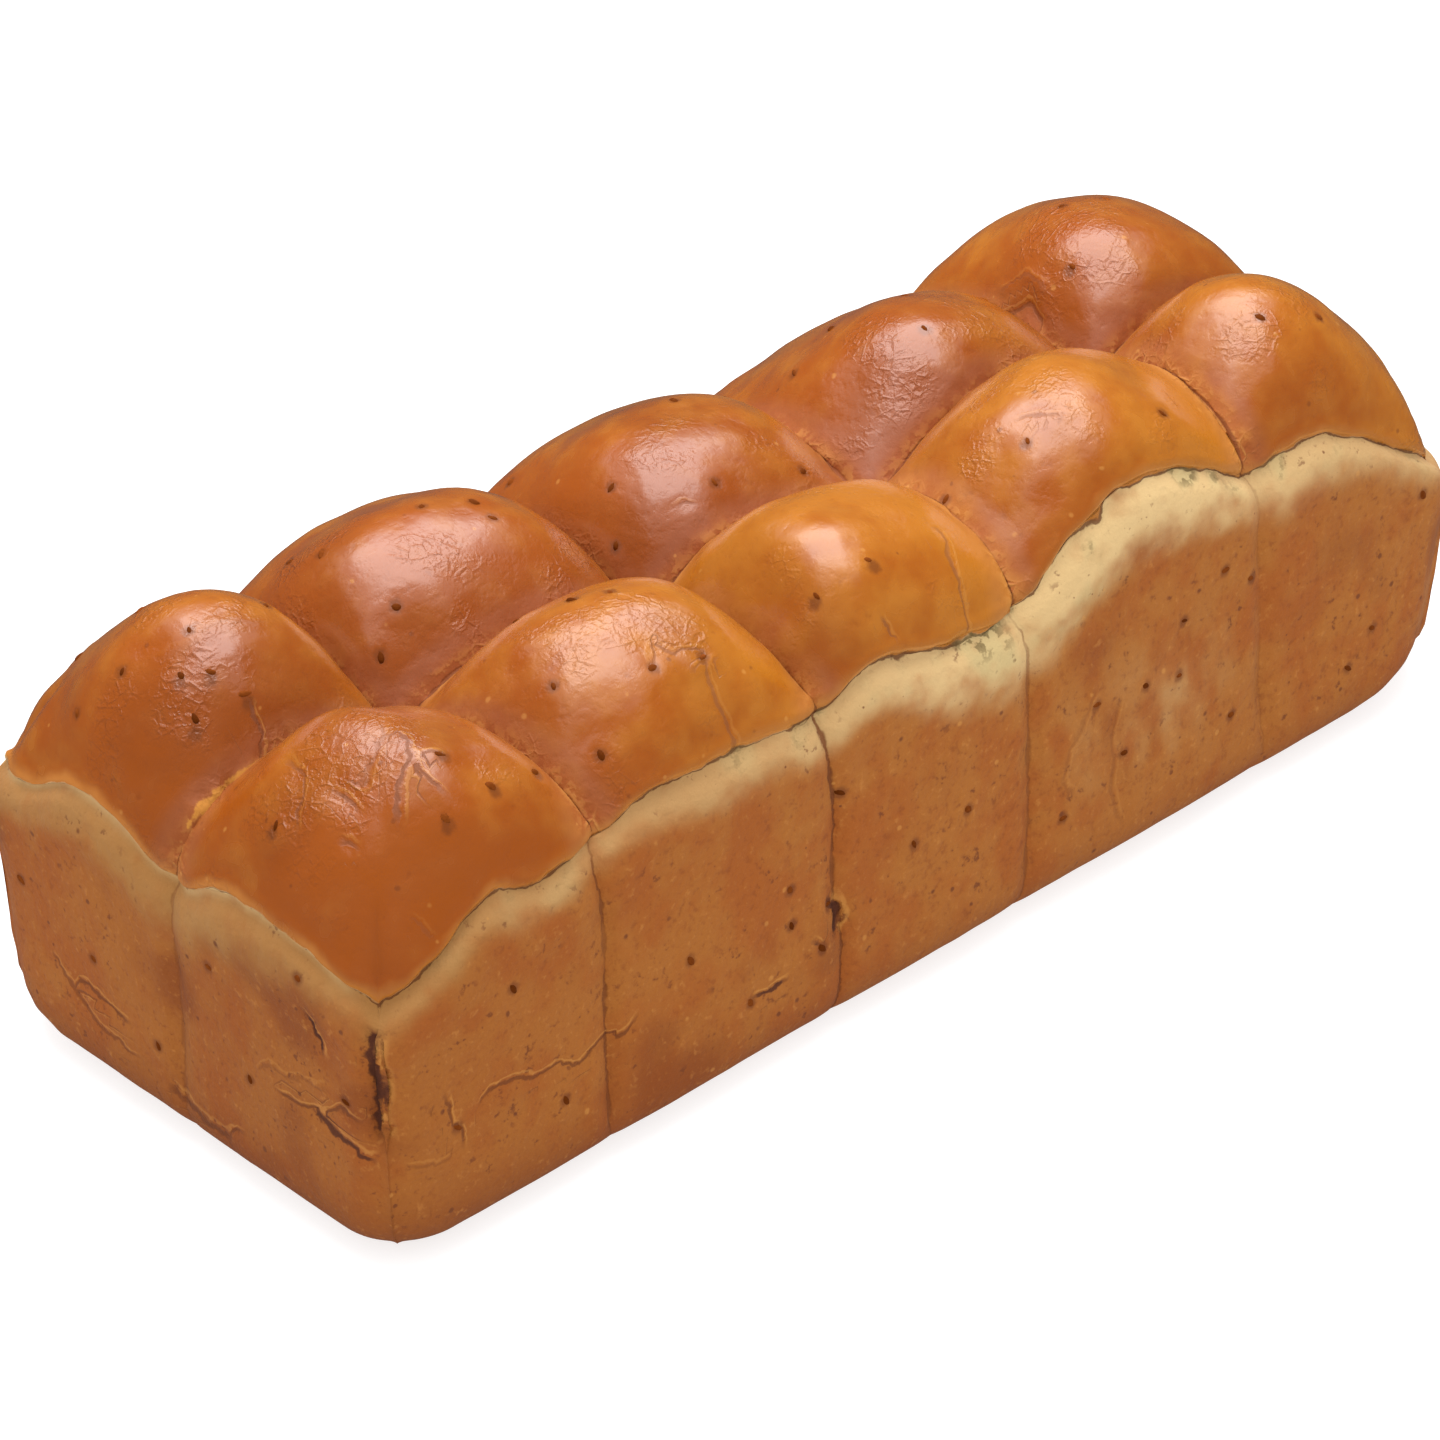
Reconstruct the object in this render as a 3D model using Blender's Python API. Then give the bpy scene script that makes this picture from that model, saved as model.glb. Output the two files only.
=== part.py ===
# A mosbolletjie loaf: ten balls of dough in two rows of five, baked into one block.
# X runs along the loaf, Y across it and Z up. The long side seen in the photo faces -Y,
# column 0 is at -X, and row 0 is the front row. Lengths are in metres.

import math
import random

import bmesh
import bpy
import numpy as np
from mathutils import Matrix, Vector
from mathutils.bvhtree import BVHTree

# Driving dimensions of the whole loaf
length = 0.320
width = 0.133
bottom_edge_radius = 0.0115
wall_flare = 0.0020

# Lines between the columns, at the front side and at the back side
front_lines = (-0.160, -0.101, -0.037, 0.021, 0.093, 0.160)
back_lines = (-0.160, -0.106, -0.031, 0.037, 0.107, 0.160)
# The line between the rows, off the middle, at each column line
row_line = (-0.0005, -0.0045, -0.0070, -0.0105, -0.0100, -0.0150)

# Each ball's top above the floor: front row and back row of each column
dome_tops = ((0.1040, 0.1065), (0.1060, 0.1030), (0.1030, 0.0980), (0.1100, 0.0980), (0.1050, 0.0990))
# How blunt each dome is: 2 is an ellipse, more is flatter on top
dome_bluntness = ((2.4, 2.2), (2.0, 2.6), (2.3, 2.3), (2.1, 2.1), (2.2, 2.9))
# How far each dome's top leans along and across its cell, as a share of half the cell
lean_along = ((-0.10, -0.20), (-0.08, 0.06), (-0.08, -0.03), (-0.01, -0.12), (0.0, -0.24))
lean_across = ((-0.04, 0.02), (-0.04, -0.16), (-0.01, 0.04), (-0.10, 0.31), (0.10, 0.26))
# Height of the creases between columns over the crack line: front row and back row
crease_rise = ((0.0080, 0.0095), (0.0040, 0.0050), (0.0110, 0.0085), (0.0130, 0.0075))
# Height of the crease between the rows, as a share of the domes beside it
row_crease_share = 0.46

# The crack under the domes, above the floor: four steps to a ball on the two sides seen
crack_front = (0.0630, 0.0690, 0.0775, 0.0745, 0.0770, 0.0810, 0.0800, 0.0800, 0.0775, 0.0840,
               0.0800, 0.0780, 0.0780, 0.0890, 0.0945, 0.0895, 0.0805, 0.0815, 0.0760, 0.0650, 0.0560)
crack_near = (0.0630, 0.0690, 0.0712, 0.0705, 0.0650, 0.0720, 0.0735, 0.0665, 0.0650)
# On the two hidden sides it runs level and dips at each joint
crack_hidden = 0.0640
crack_dip = 0.0020

# Relief of the walls
crack_depth = 0.0028
crack_half_width = 0.0030
band_swell = 0.0010
band_below_crack = 0.0100
band_half_width = 0.0070
joint_depth = 0.0014
joint_half_width = 0.0030
belly = 0.0007

# Plan radius of the upright corners, high on the wall and at the floor
corners_high = {"near": 0.010, "left": 0.014, "right": 0.014, "far": 0.014}
corners_low = {"near": 0.016, "left": 0.028, "right": 0.038, "far": 0.030}
corner_flare_height = 0.060

# Torn ridge where the front and back balls of column 0 part, above the near end
ridge_place = (0.13, 1.02)
ridge_size = (0.16, 0.07)
ridge_height = 0.0018

# Mesh steps
steps_per_ball = 10
crease_crowding = 0.5
wall_steps = (0.035, 0.09, 0.16, 0.25, 0.37, 0.52, 0.68, 0.84, 1.0)
bottom_edge_steps = 4

# Aniseed grains, half sunk in the crust
seed_length = 0.0038
seed_width = 0.0021
seed_height = 0.0019
seed_sides = 6
seed_rings = 4
seed_sunk = 0.0001
seed_gap = 0.0060

# Grains seen on the domes: place along, place across, turn in degrees
dome_seeds = (
    (0.18, 1.45, 20), (0.27, 1.25, 60), (0.22, 1.14, 30), (0.42, 1.10, 80), (0.05, 1.56, 40),
    (0.35, 1.19, 70), (1.07, 1.15, 10), (0.55, 0.27, 15), (0.65, 0.15, 40), (0.07, 0.58, 20),
    (1.18, 1.20, 80), (1.18, 1.54, 70), (0.42, 0.12, 30), (1.15, 0.38, 50), (1.43, 0.21, 80),
    (1.62, 0.18, 85), (1.45, 0.65, 20), (1.55, 0.58, 10), (1.33, 0.80, 30), (2.05, 1.20, 15),
    (1.12, 0.12, 20), (0.88, 0.18, 45), (1.50, 1.45, 0), (1.65, 1.30, 0), (2.15, 1.32, 10),
    (2.80, 1.10, 75), (2.42, 1.12, 0), (2.38, 0.17, 50), (2.15, 0.20, 60), (3.25, 0.31, 50),
    (3.02, 0.50, 20), (3.73, 0.15, 0), (4.30, 0.30, 40), (4.55, 0.25, 10), (4.45, 1.50, 30),
    (4.62, 1.45, 60), (3.45, 1.20, 20), (3.60, 1.45, 50), (2.60, 1.50, 30), (4.20, 1.25, 70),
)
# Grains seen on the walls: side, place along it, height in mm, turn in degrees
wall_seeds = (
    ("near", 0.80, 52, 80), ("near", 0.35, 64, 85), ("near", 1.76, 42, 70), ("near", 0.16, 40, 80),
    ("near", 1.10, 22, 30), ("near", 0.62, 30, 20), ("near", 1.40, 34, 60),
    ("front", 1.80, 42, 40), ("front", 1.80, 33, 20), ("front", 2.06, 58, 60), ("front", 1.35, 39, 30),
    ("front", 1.98, 32, 80), ("front", 1.93, 23, 40), ("front", 0.58, 56, 30), ("front", 2.38, 37, 20),
    ("front", 2.66, 38, 50), ("front", 3.12, 22, 90), ("front", 3.83, 62, 85), ("front", 3.95, 56, 60),
    ("front", 3.65, 55, 70), ("front", 3.48, 44, 60), ("front", 3.62, 42, 85), ("front", 3.27, 46, 80),
    ("front", 3.38, 30, 70), ("front", 3.85, 24, 80), ("front", 4.40, 19, 50), ("front", 4.52, 26, 60),
    ("front", 4.76, 54, 30), ("front", 1.60, 20, 30), ("front", 0.30, 30, 50), ("front", 0.78, 22, 20),
)
# More grains by a seeded draw: on the back row's far slopes, the back wall and the far end
drawn_dome_seeds = 16
drawn_back_seeds = 14
drawn_far_seeds = 5
draw_seed = 7


# A Catmull-Rom curve that passes through values spaced evenly by step
def smooth_curve(place, values, step):
    values = np.asarray(values, float)
    count = len(values) - 1
    before = [2 * values[0] - values[1]]
    after = [2 * values[-1] - values[-2]]
    padded = np.concatenate([before, values, after])
    spot = np.clip(np.asarray(place, float) / step, 0, count - 1e-9)
    index = spot.astype(int)
    t = spot - index
    a, b, c, d = (padded[index + shift] for shift in range(4))
    cubic = (3 * b - a - 3 * c + d) * t ** 3
    square = (2 * a - 5 * b + 4 * c - d) * t ** 2
    return 0.5 * (2 * b + (c - a) * t + square + cubic)


# Crack height along a hidden side, from one corner's height to the other's
def hidden_crack(place, balls, start, end):
    level = crack_hidden - crack_dip * (0.5 + 0.5 * np.cos(2 * math.pi * place))
    to_start = np.exp(-(place / 0.5) ** 2)
    to_end = np.exp(-((balls - place) / 0.5) ** 2)
    return level + (start - level) * to_start + (end - level) * to_end


# Crack heights on the four sides blended over the plan, as a Coons patch does
def crack_height(u, v):
    front = smooth_curve(u, crack_front, 0.25)
    near = smooth_curve(v, crack_near, 0.25)
    far_corner = crack_hidden - crack_dip
    back = hidden_crack(u, 5, crack_near[-1], far_corner)
    far = hidden_crack(v, 2, crack_front[-1], far_corner)
    s, t = u / 5, v / 2
    corner_mix = (1 - t) * ((1 - s) * crack_front[0] + s * crack_front[-1])
    corner_mix = corner_mix + t * ((1 - s) * crack_near[-1] + s * far_corner)
    return (1 - t) * front + t * back + (1 - s) * near + s * far - corner_mix


# Plan position of loaf coordinates: u counts columns from 0 to 5, v rows from 0 to 2
def plan_point(u, v):
    columns = np.arange(6)
    front = np.interp(u, columns, front_lines)
    back = np.interp(u, columns, back_lines)
    row = smooth_curve(u, row_line, 1.0)
    half = width / 2
    y = np.where(v < 1, -half + (row + half) * v, row + (half - row) * (v - 1))
    return front + (back - front) * v / 2, y


# A dome's outline over t from -1 to 1, falling to the given heights at its two sides
def dome_outline(t, left, right, bluntness):
    side = np.where(t < 0, left, right)
    return np.sqrt(np.maximum(1 - np.abs(t) ** bluntness * (1 - side ** 2), 0))


# Height of the domes' surface
def dome_height(u, v):
    column = np.minimum(np.floor(u), 4).astype(int)
    row = np.minimum(np.floor(v), 1).astype(int)
    p = 2 * (u - column) - 1
    q = 2 * (v - row) - 1
    middle_u, middle_v = np.meshgrid(np.arange(5) + 0.5, np.arange(2) + 0.5, indexing="ij")
    rises = np.asarray(dome_tops) - crack_height(middle_u, middle_v)
    creases = np.vstack([[0, 0], crease_rise, [0, 0]])
    bluntness, along, across = (np.asarray(a) for a in (dome_bluntness, lean_along, lean_across))
    arch = []
    for k in (0, 1):
        rise = rises[column, k]
        left = np.clip(creases[column, k] / rise, 0, 1)
        right = np.clip(creases[column + 1, k] / rise, 0, 1)
        leaning = p + along[column, k] * (1 - p * p)
        arch.append(rise * dome_outline(leaning, left, right, bluntness[column, k]) + 1e-7)
    crease = row_crease_share * np.sqrt(arch[0] * arch[1])
    front_q = q + across[column, 0] * (1 - q * q)
    back_q = q + across[column, 1] * (1 - q * q)
    front = dome_outline(front_q, 0, np.clip(crease / arch[0], 0, 0.99), bluntness[column, 0])
    back = dome_outline(back_q, np.clip(crease / arch[1], 0, 0.99), 0, bluntness[column, 1])
    domes = np.where(row == 0, arch[0] * front, arch[1] * back)
    off_u = (u - ridge_place[0]) / ridge_size[0]
    off_v = (v - ridge_place[1]) / ridge_size[1]
    return crack_height(u, v) + domes + ridge_height * np.exp(-off_u ** 2 - off_v ** 2)


# 1 on the joints between the balls, near the outer sides
def joint_mask(u, v, x, y):
    columns = np.arange(6)
    inner_lines = np.asarray(front_lines)[1:-1], np.asarray(back_lines)[1:-1]
    lines = inner_lines[0][:, None] + (inner_lines[1] - inner_lines[0])[:, None] * v.ravel() / 2
    to_line = np.abs(x.ravel() - lines).min(axis=0).reshape(x.shape)
    to_row = y - smooth_curve(u, row_line, 1.0)
    upright = np.exp(-(to_line / joint_half_width) ** 2) * np.abs(v - 1) ** 6
    at_ends = np.exp(-(to_row / joint_half_width) ** 2) * np.abs(u / 2.5 - 1) ** 20
    return upright + at_ends


# How far a wall stands out of the plan, at a distance below the crack
def wall_offset(u, v, x, y, below, crack):
    groove = crack_depth * np.exp(-(below / crack_half_width) ** 2)
    band = band_swell * np.exp(-((below - band_below_crack) / band_half_width) ** 2)
    share = np.clip(below / crack, 0, 1)
    joints = joint_depth * joint_mask(u, v, x, y) * np.clip((1 - share) * 5, 0, 1)
    on_long_side = np.abs(v - 1) > 0.999
    phase = np.where(on_long_side, u, v)
    bulge = belly * np.sin(math.pi * phase) ** 2 * np.sin(math.pi * share)
    return band * np.clip(below / band_below_crack, 0, 1) + bulge + wall_flare * share - groove - joints


# Plan radius at the corner nearest to a point
def corner_radius(x, y, radii):
    near_end = np.where(y < 0, radii["near"], radii["left"])
    far_end = np.where(y < 0, radii["right"], radii["far"])
    return np.where(x < 0, near_end, far_end)


# Moves the square corners of the plan onto round ones
def round_plan(x, y, half_length, half_width, radius):
    core_x = np.clip(x, radius - half_length, half_length - radius)
    core_y = np.clip(y, radius - half_width, half_width - radius)
    out_x, out_y = x - core_x, y - core_y
    distance = np.hypot(out_x, out_y)
    reach = np.maximum(np.abs(out_x), np.abs(out_y))
    scale = np.where(distance > 1e-9, reach / np.maximum(distance, 1e-9), 1)
    return core_x + out_x * scale, core_y + out_y * scale


# Pushes plan points out by offset and rounds the corners
def shaped_plan(x, y, offset, radius):
    half_length, half_width = length / 2 + offset, width / 2 + offset
    wide_x, wide_y = x * half_length / (length / 2), y * half_width / (width / 2)
    return round_plan(wide_x, wide_y, half_length, half_width, radius)


# Steps along an axis: each ball evenly, crowded at creases, and as an arc at outer sides
def ball_steps(balls):
    t = np.linspace(-1, 1, steps_per_ball + 1)
    arc = np.sin(t * math.pi / 2)
    inner = (1 - crease_crowding) * t + crease_crowding * arc
    steps = [0.0]
    for ball in range(balls):
        p = inner.copy()
        if ball == 0:
            p[t < 0] = arc[t < 0]
        if ball == balls - 1:
            p[t > 0] = arc[t > 0]
        steps.extend(ball + (p[1:] + 1) / 2)
    return np.array(steps)


# Grid indices round the edge of the top surface, counter-clockwise from above
def edge_loop(along, across):
    front = [(i, 0) for i in range(along - 1)]
    far = [(along - 1, j) for j in range(across - 1)]
    back = [(i, across - 1) for i in range(along - 1, 0, -1)]
    near = [(0, j) for j in range(across - 1, 0, -1)]
    return np.array(front + far + back + near)


# The rings of the wall and of the rounded bottom edge, below the crack
def wall_rings(u, v, x, y, crack):
    rings = []
    for share in wall_steps:
        z = crack + (bottom_edge_radius - crack) * share
        rings.append((z, 0 * crack))
    for step in range(1, bottom_edge_steps + 1):
        angle = step / bottom_edge_steps * math.pi / 2
        z = bottom_edge_radius * (1 - math.sin(angle)) + 0 * crack
        rings.append((z, bottom_edge_radius * (1 - math.cos(angle)) + 0 * crack))
    points = []
    for z, inset in rings:
        offset = wall_offset(u, v, x, y, crack - z, crack) - inset
        low = np.clip(1 - z / corner_flare_height, 0, 1) ** 2
        high_radius = corner_radius(x, y, corners_high)
        radius = high_radius + (corner_radius(x, y, corners_low) - high_radius) * low
        ring_x, ring_y = shaped_plan(x, y, offset, radius)
        points.append(np.column_stack([ring_x, ring_y, z]))
    return points


# The bare loaf as one closed mesh
def make_loaf():
    u, v = np.meshgrid(ball_steps(5), ball_steps(2), indexing="ij")
    x, y = plan_point(u, v)
    z = dome_height(u, v)
    offset = wall_offset(u, v, x, y, 0 * u, 0 * u + 1)
    top_x, top_y = shaped_plan(x, y, offset, corner_radius(x, y, corners_high))
    points = [np.column_stack([top_x.ravel(), top_y.ravel(), z.ravel()])]
    along, across = u.shape
    faces = []
    for i in range(along - 1):
        for j in range(across - 1):
            first = i * across + j
            faces.append((first, first + across, first + across + 1, first + 1))
    loop = edge_loop(along, across)
    at = (loop[:, 0], loop[:, 1])
    upper = loop[:, 0] * across + loop[:, 1]
    start = along * across
    for ring in wall_rings(u[at], v[at], x[at], y[at], z[at]):
        points.append(ring)
        lower = start + np.arange(len(loop))
        corners = np.roll(upper, -1), upper, lower, np.roll(lower, -1)
        faces.extend(tuple(int(n) for n in face) for face in np.column_stack(corners))
        upper = lower
        start += len(loop)
    faces.append(tuple(int(n) for n in upper[::-1]))
    mesh = bpy.data.meshes.new("loaf")
    mesh.from_pydata(np.concatenate(points).tolist(), [], faces)
    mesh.validate()
    loaf = bpy.data.objects.new("loaf", mesh)
    bpy.context.scene.collection.objects.link(loaf)
    return loaf


# Baked crust, a glazed brown
def crust_material():
    material = bpy.data.materials.new("baked crust")
    material.use_nodes = True
    shader = material.node_tree.nodes["Principled BSDF"]
    shader.inputs["Base Color"].default_value = (0.42, 0.15, 0.045, 1)
    shader.inputs["Roughness"].default_value = 0.42
    shader.inputs["Metallic"].default_value = 0.0
    return material


# One grain, pointed a little at its ends, lying along X
def grain_mesh():
    grid = bmesh.new()
    bmesh.ops.create_uvsphere(grid, u_segments=seed_sides, v_segments=seed_rings, radius=0.5)
    upright_to_lying = Matrix.Rotation(math.pi / 2, 4, "Y")
    size = Matrix.Diagonal((seed_length, seed_width, seed_height, 1))
    bmesh.ops.transform(grid, matrix=size @ upright_to_lying, verts=grid.verts)
    mesh = bpy.data.meshes.new("grain")
    grid.to_mesh(mesh)
    grid.free()
    return mesh


# A ray's start and direction that meet the crust at a dome place
def dome_ray(u, v):
    x, y = plan_point(np.array([float(u)]), np.array([float(v)]))
    shrink = 1 - 0.03
    return Vector((float(x[0]) * shrink, float(y[0]) * shrink, 0.2)), Vector((0, 0, -1))


# A ray's start and direction that meet a wall at a height
def wall_ray(side, place, height):
    far_out = 0.3
    if side in ("front", "back"):
        v = 0.0 if side == "front" else 2.0
        x, y = plan_point(np.array([float(place)]), np.array([v]))
        outward = -1 if side == "front" else 1
        return Vector((float(x[0]), far_out * outward, height)), Vector((0, -outward, 0))
    u = 0.0 if side == "near" else 5.0
    x, y = plan_point(np.array([u]), np.array([float(place)]))
    outward = -1 if side == "near" else 1
    return Vector((far_out * outward, float(y[0]), height)), Vector((-outward, 0, 0))


# All the places for grains, as rays with a turn
def grain_rays():
    rays = [(*dome_ray(u, v), turn) for u, v, turn in dome_seeds]
    rays += [(*wall_ray(side, along, mm / 1000), turn) for side, along, mm, turn in wall_seeds]
    draw = random.Random(draw_seed)
    for _ in range(drawn_dome_seeds):
        rays.append((*dome_ray(draw.uniform(0.1, 4.9), draw.uniform(1.3, 1.92)), draw.uniform(0, 180)))
    for _ in range(drawn_back_seeds):
        height = draw.uniform(0.014, 0.056)
        rays.append((*wall_ray("back", draw.uniform(0.3, 4.7), height), draw.uniform(0, 180)))
    for _ in range(drawn_far_seeds):
        height = draw.uniform(0.014, 0.050)
        rays.append((*wall_ray("far", draw.uniform(0.3, 1.7), height), draw.uniform(0, 180)))
    return rays


# Puts the grains on the crust and fuses them to it
def add_grains(loaf):
    tree = BVHTree.FromPolygons(
        [vertex.co for vertex in loaf.data.vertices],
        [tuple(face.vertices) for face in loaf.data.polygons])
    grains = bpy.data.collections.new("grains")
    bpy.context.scene.collection.children.link(grains)
    shared_mesh = grain_mesh()
    placed = []
    for start, direction, turn in grain_rays():
        spot, normal, _, _ = tree.ray_cast(start, direction)
        if spot is None or any((spot - other).length < seed_gap for other in placed):
            continue
        placed.append(spot)
        grain = bpy.data.objects.new("grain", shared_mesh)
        grains.objects.link(grain)
        face_out = normal.to_track_quat("Z", "X").to_matrix().to_4x4()
        turned = Matrix.Rotation(math.radians(turn), 4, "Z")
        grain.matrix_world = Matrix.Translation(spot - normal * seed_sunk) @ face_out @ turned
    union = loaf.modifiers.new("fused grains", "BOOLEAN")
    union.operation = "UNION"
    union.operand_type = "COLLECTION"
    union.collection = grains
    union.solver = "EXACT"
    bpy.context.view_layer.update()
    evaluated = loaf.evaluated_get(bpy.context.evaluated_depsgraph_get())
    fused = bpy.data.meshes.new_from_object(evaluated)
    loaf.modifiers.clear()
    loaf.data = fused
    for grain in list(grains.objects):
        bpy.data.objects.remove(grain)
    bpy.data.collections.remove(grains)


for old in list(bpy.data.objects):
    bpy.data.objects.remove(old)
loaf_object = make_loaf()
add_grains(loaf_object)
loaf_object.data.materials.clear()
loaf_object.data.materials.append(crust_material())
loaf_object.data.shade_smooth()
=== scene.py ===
# Mosbolletjie loaf: ten balls of dough in two rows, glazed on top and baked plain on the walls.
# X runs along the loaf, Y across it and Z up. The long side seen in the photo faces -Y. Metres.

import itertools
import math
import random

import bpy
import numpy as np
from mathutils import Matrix, Vector
from mathutils.bvhtree import BVHTree


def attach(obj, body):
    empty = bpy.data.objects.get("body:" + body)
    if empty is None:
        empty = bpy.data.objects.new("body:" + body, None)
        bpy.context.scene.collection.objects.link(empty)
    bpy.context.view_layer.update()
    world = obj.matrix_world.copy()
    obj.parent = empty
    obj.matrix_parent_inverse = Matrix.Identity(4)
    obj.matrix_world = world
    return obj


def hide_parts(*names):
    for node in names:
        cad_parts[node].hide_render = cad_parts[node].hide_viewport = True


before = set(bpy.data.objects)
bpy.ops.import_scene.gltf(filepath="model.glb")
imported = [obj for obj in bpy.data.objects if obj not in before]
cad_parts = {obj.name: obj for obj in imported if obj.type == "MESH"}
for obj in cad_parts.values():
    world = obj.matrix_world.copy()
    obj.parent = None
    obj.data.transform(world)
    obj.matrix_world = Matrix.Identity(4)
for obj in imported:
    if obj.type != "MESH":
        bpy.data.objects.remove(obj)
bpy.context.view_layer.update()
print("stage: frame loaded")

cameraView = {
    "azimuth": -41.497, "elevation": 32.938, "roll": -2.182,   # degrees
    "distance": 1.430, "aim": (0.0, 0.0, 0.045),
    "lens": 163.31, "shift": (-0.0179, -0.0404),
}


# The direction from the loaf towards an azimuth and elevation, with azimuth 0 towards -Y and 90 towards +X
def towards(azimuth, elevation):
    a, e = math.radians(azimuth), math.radians(elevation)
    return Vector((math.sin(a) * math.cos(e), -math.cos(a) * math.cos(e), math.sin(e)))


def addObject(name, data):
    made = bpy.data.objects.new(name, data)
    bpy.context.scene.collection.objects.link(made)
    return made


def makeCamera(view):
    back = towards(view["azimuth"], view["elevation"])
    right = Vector((0, 0, 1)).cross(back).normalized()
    up = back.cross(right)
    roll = math.radians(view["roll"])
    rolledRight = right * math.cos(roll) + up * math.sin(roll)
    rolledUp = up * math.cos(roll) - right * math.sin(roll)
    data = bpy.data.cameras.new("camera")
    data.lens = view["lens"]
    data.sensor_width = 36
    data.shift_x, data.shift_y = view["shift"]
    data.dof.use_dof = False
    data.clip_start, data.clip_end = 0.05, 50
    camera = addObject("camera", data)
    turn = Matrix((rolledRight, rolledUp, back)).transposed().to_4x4()
    camera.matrix_world = Matrix.Translation(Vector(view["aim"]) + back * view["distance"]) @ turn
    bpy.context.scene.camera = camera


makeCamera(cameraView)
print("stage: camera")

loafForm = {
    "length": 0.320, "width": 0.133, "bottomEdge": 0.0115, "wallFlare": 0.0020,
    # Lines between the columns at the front and the back, and between the rows
    "frontLines": (-0.160, -0.101, -0.037, 0.021, 0.093, 0.160),
    "backLines": (-0.160, -0.106, -0.031, 0.037, 0.107, 0.160),
    "rowLine": (-0.0005, -0.0045, -0.0070, -0.0105, -0.0100, -0.0150),
    # Each ball's top, bluntness and lean: front row and back row of each column
    "tops": ((0.1040, 0.1065), (0.1060, 0.1030), (0.1030, 0.0980), (0.1100, 0.0980), (0.1050, 0.0990)),
    "bluntness": ((2.4, 2.2), (2.0, 2.6), (2.3, 2.3), (2.1, 2.1), (2.2, 2.9)),
    "leanAlong": ((-0.10, -0.20), (-0.08, 0.06), (-0.08, -0.03), (-0.01, -0.12), (0.0, -0.24)),
    "leanAcross": ((-0.04, 0.02), (-0.04, -0.16), (-0.01, 0.04), (-0.10, 0.31), (0.10, 0.26)),
    "creaseRise": ((0.0080, 0.0095), (0.0040, 0.0050), (0.0110, 0.0085), (0.0130, 0.0075)),
    "rowCrease": 0.46,
    # The crack under the domes, above the floor, four steps to a ball
    "crackFront": (0.0630, 0.0690, 0.0775, 0.0745, 0.0770, 0.0810, 0.0800, 0.0800, 0.0775, 0.0840,
                   0.0800, 0.0780, 0.0780, 0.0890, 0.0945, 0.0895, 0.0805, 0.0815, 0.0760, 0.0650, 0.0560),
    "crackNear": (0.0630, 0.0690, 0.0712, 0.0705, 0.0650, 0.0720, 0.0735, 0.0665, 0.0650),
    "crackHidden": 0.0640, "crackDip": 0.0020,
    "crackDepth": 0.0028, "crackHalfWidth": 0.0030,
    "bandSwell": 0.0010, "bandBelow": 0.0100, "bandHalfWidth": 0.0070,
    "jointDepth": 0.0014, "jointHalfWidth": 0.0030, "belly": 0.0007,
    # Plan radius of the corners, high on the wall and at the floor: near, left, right, far
    "cornersHigh": (0.010, 0.014, 0.014, 0.014),
    "cornersLow": (0.016, 0.028, 0.038, 0.030), "cornerFlareHeight": 0.060,
    "ridgePlace": (0.13, 1.02), "ridgeSize": (0.16, 0.07), "ridgeHeight": 0.0018,
}
crustMesh = {
    "outerSteps": 40, "innerSteps": 30,     # steps on a ball's outer half and on an inner one
    "rimCrowding": 1.5, "creaseCrowding": 0.75,
    "wallRings": 46, "wallCrowding": 1.35, "edgeRings": 6,
    "underRings": (0.72, 0.36),
}
crustRelief = {                             # heights in metres
    "domeLump": 0.00055, "domeLumpSize": 0.019, "domeRipple": 0.00030, "domeRippleSize": 0.0075,
    "wallLump": 0.00040, "wallLumpSize": 0.017, "wallRipple": 0.00024, "wallRippleSize": 0.0052,
    "creaseCrinkle": 0.00050, "creaseCrinkleSize": 0.0042, "creaseReach": 0.0045,
    "lip": 0.0005, "lipPlace": 0.0022, "lipHalfWidth": 0.0016, "cut": 0.0006, "cutHalfWidth": 0.0006,
    "seamCut": 0.0005, "seamHalfWidth": 0.0007,
    "endRidge": 0.0012, "endRidgeHalfWidth": 0.0013,
    # Soft swells on six balls: place in columns and rows, height, half width
    "facets": (((0.27, 0.24), 0.0018, 0.013), ((0.22, 0.52), 0.0018, 0.011), ((0.78, 0.20), 0.0018, 0.011),
               ((0.30, 1.09), 0.0034, 0.013), ((3.38, 1.25), 0.0020, 0.013), ((2.36, 0.30), 0.0025, 0.019),
               ((3.34, 0.25), 0.0014, 0.012), ((4.22, 1.30), 0.0016, 0.011)),
    "tornCrumb": 0.0014, "tornCrumbSize": 0.0026,
    "seedSwell": 0.00016, "seedSwellPlace": 0.0028, "seedSwellHalfWidth": 0.0012,
}
# How far each seam of the front wall wanders along the loaf, in mm, from the crack to the floor
seamWander = (
    (-1.5, 0.6, 0.9, 0.4, 0.2, -0.2, 0.3), (-0.8, 0.8, 2.0, 0.2, 1.8, 1.4, -0.6),
    (-1.6, 0.6, 0.8, 0.6, 0.2, -1.6, -3.2), (0.4, -0.5, 0.3, 0.5, -0.4, 0.6, 0.2),
)
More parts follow.
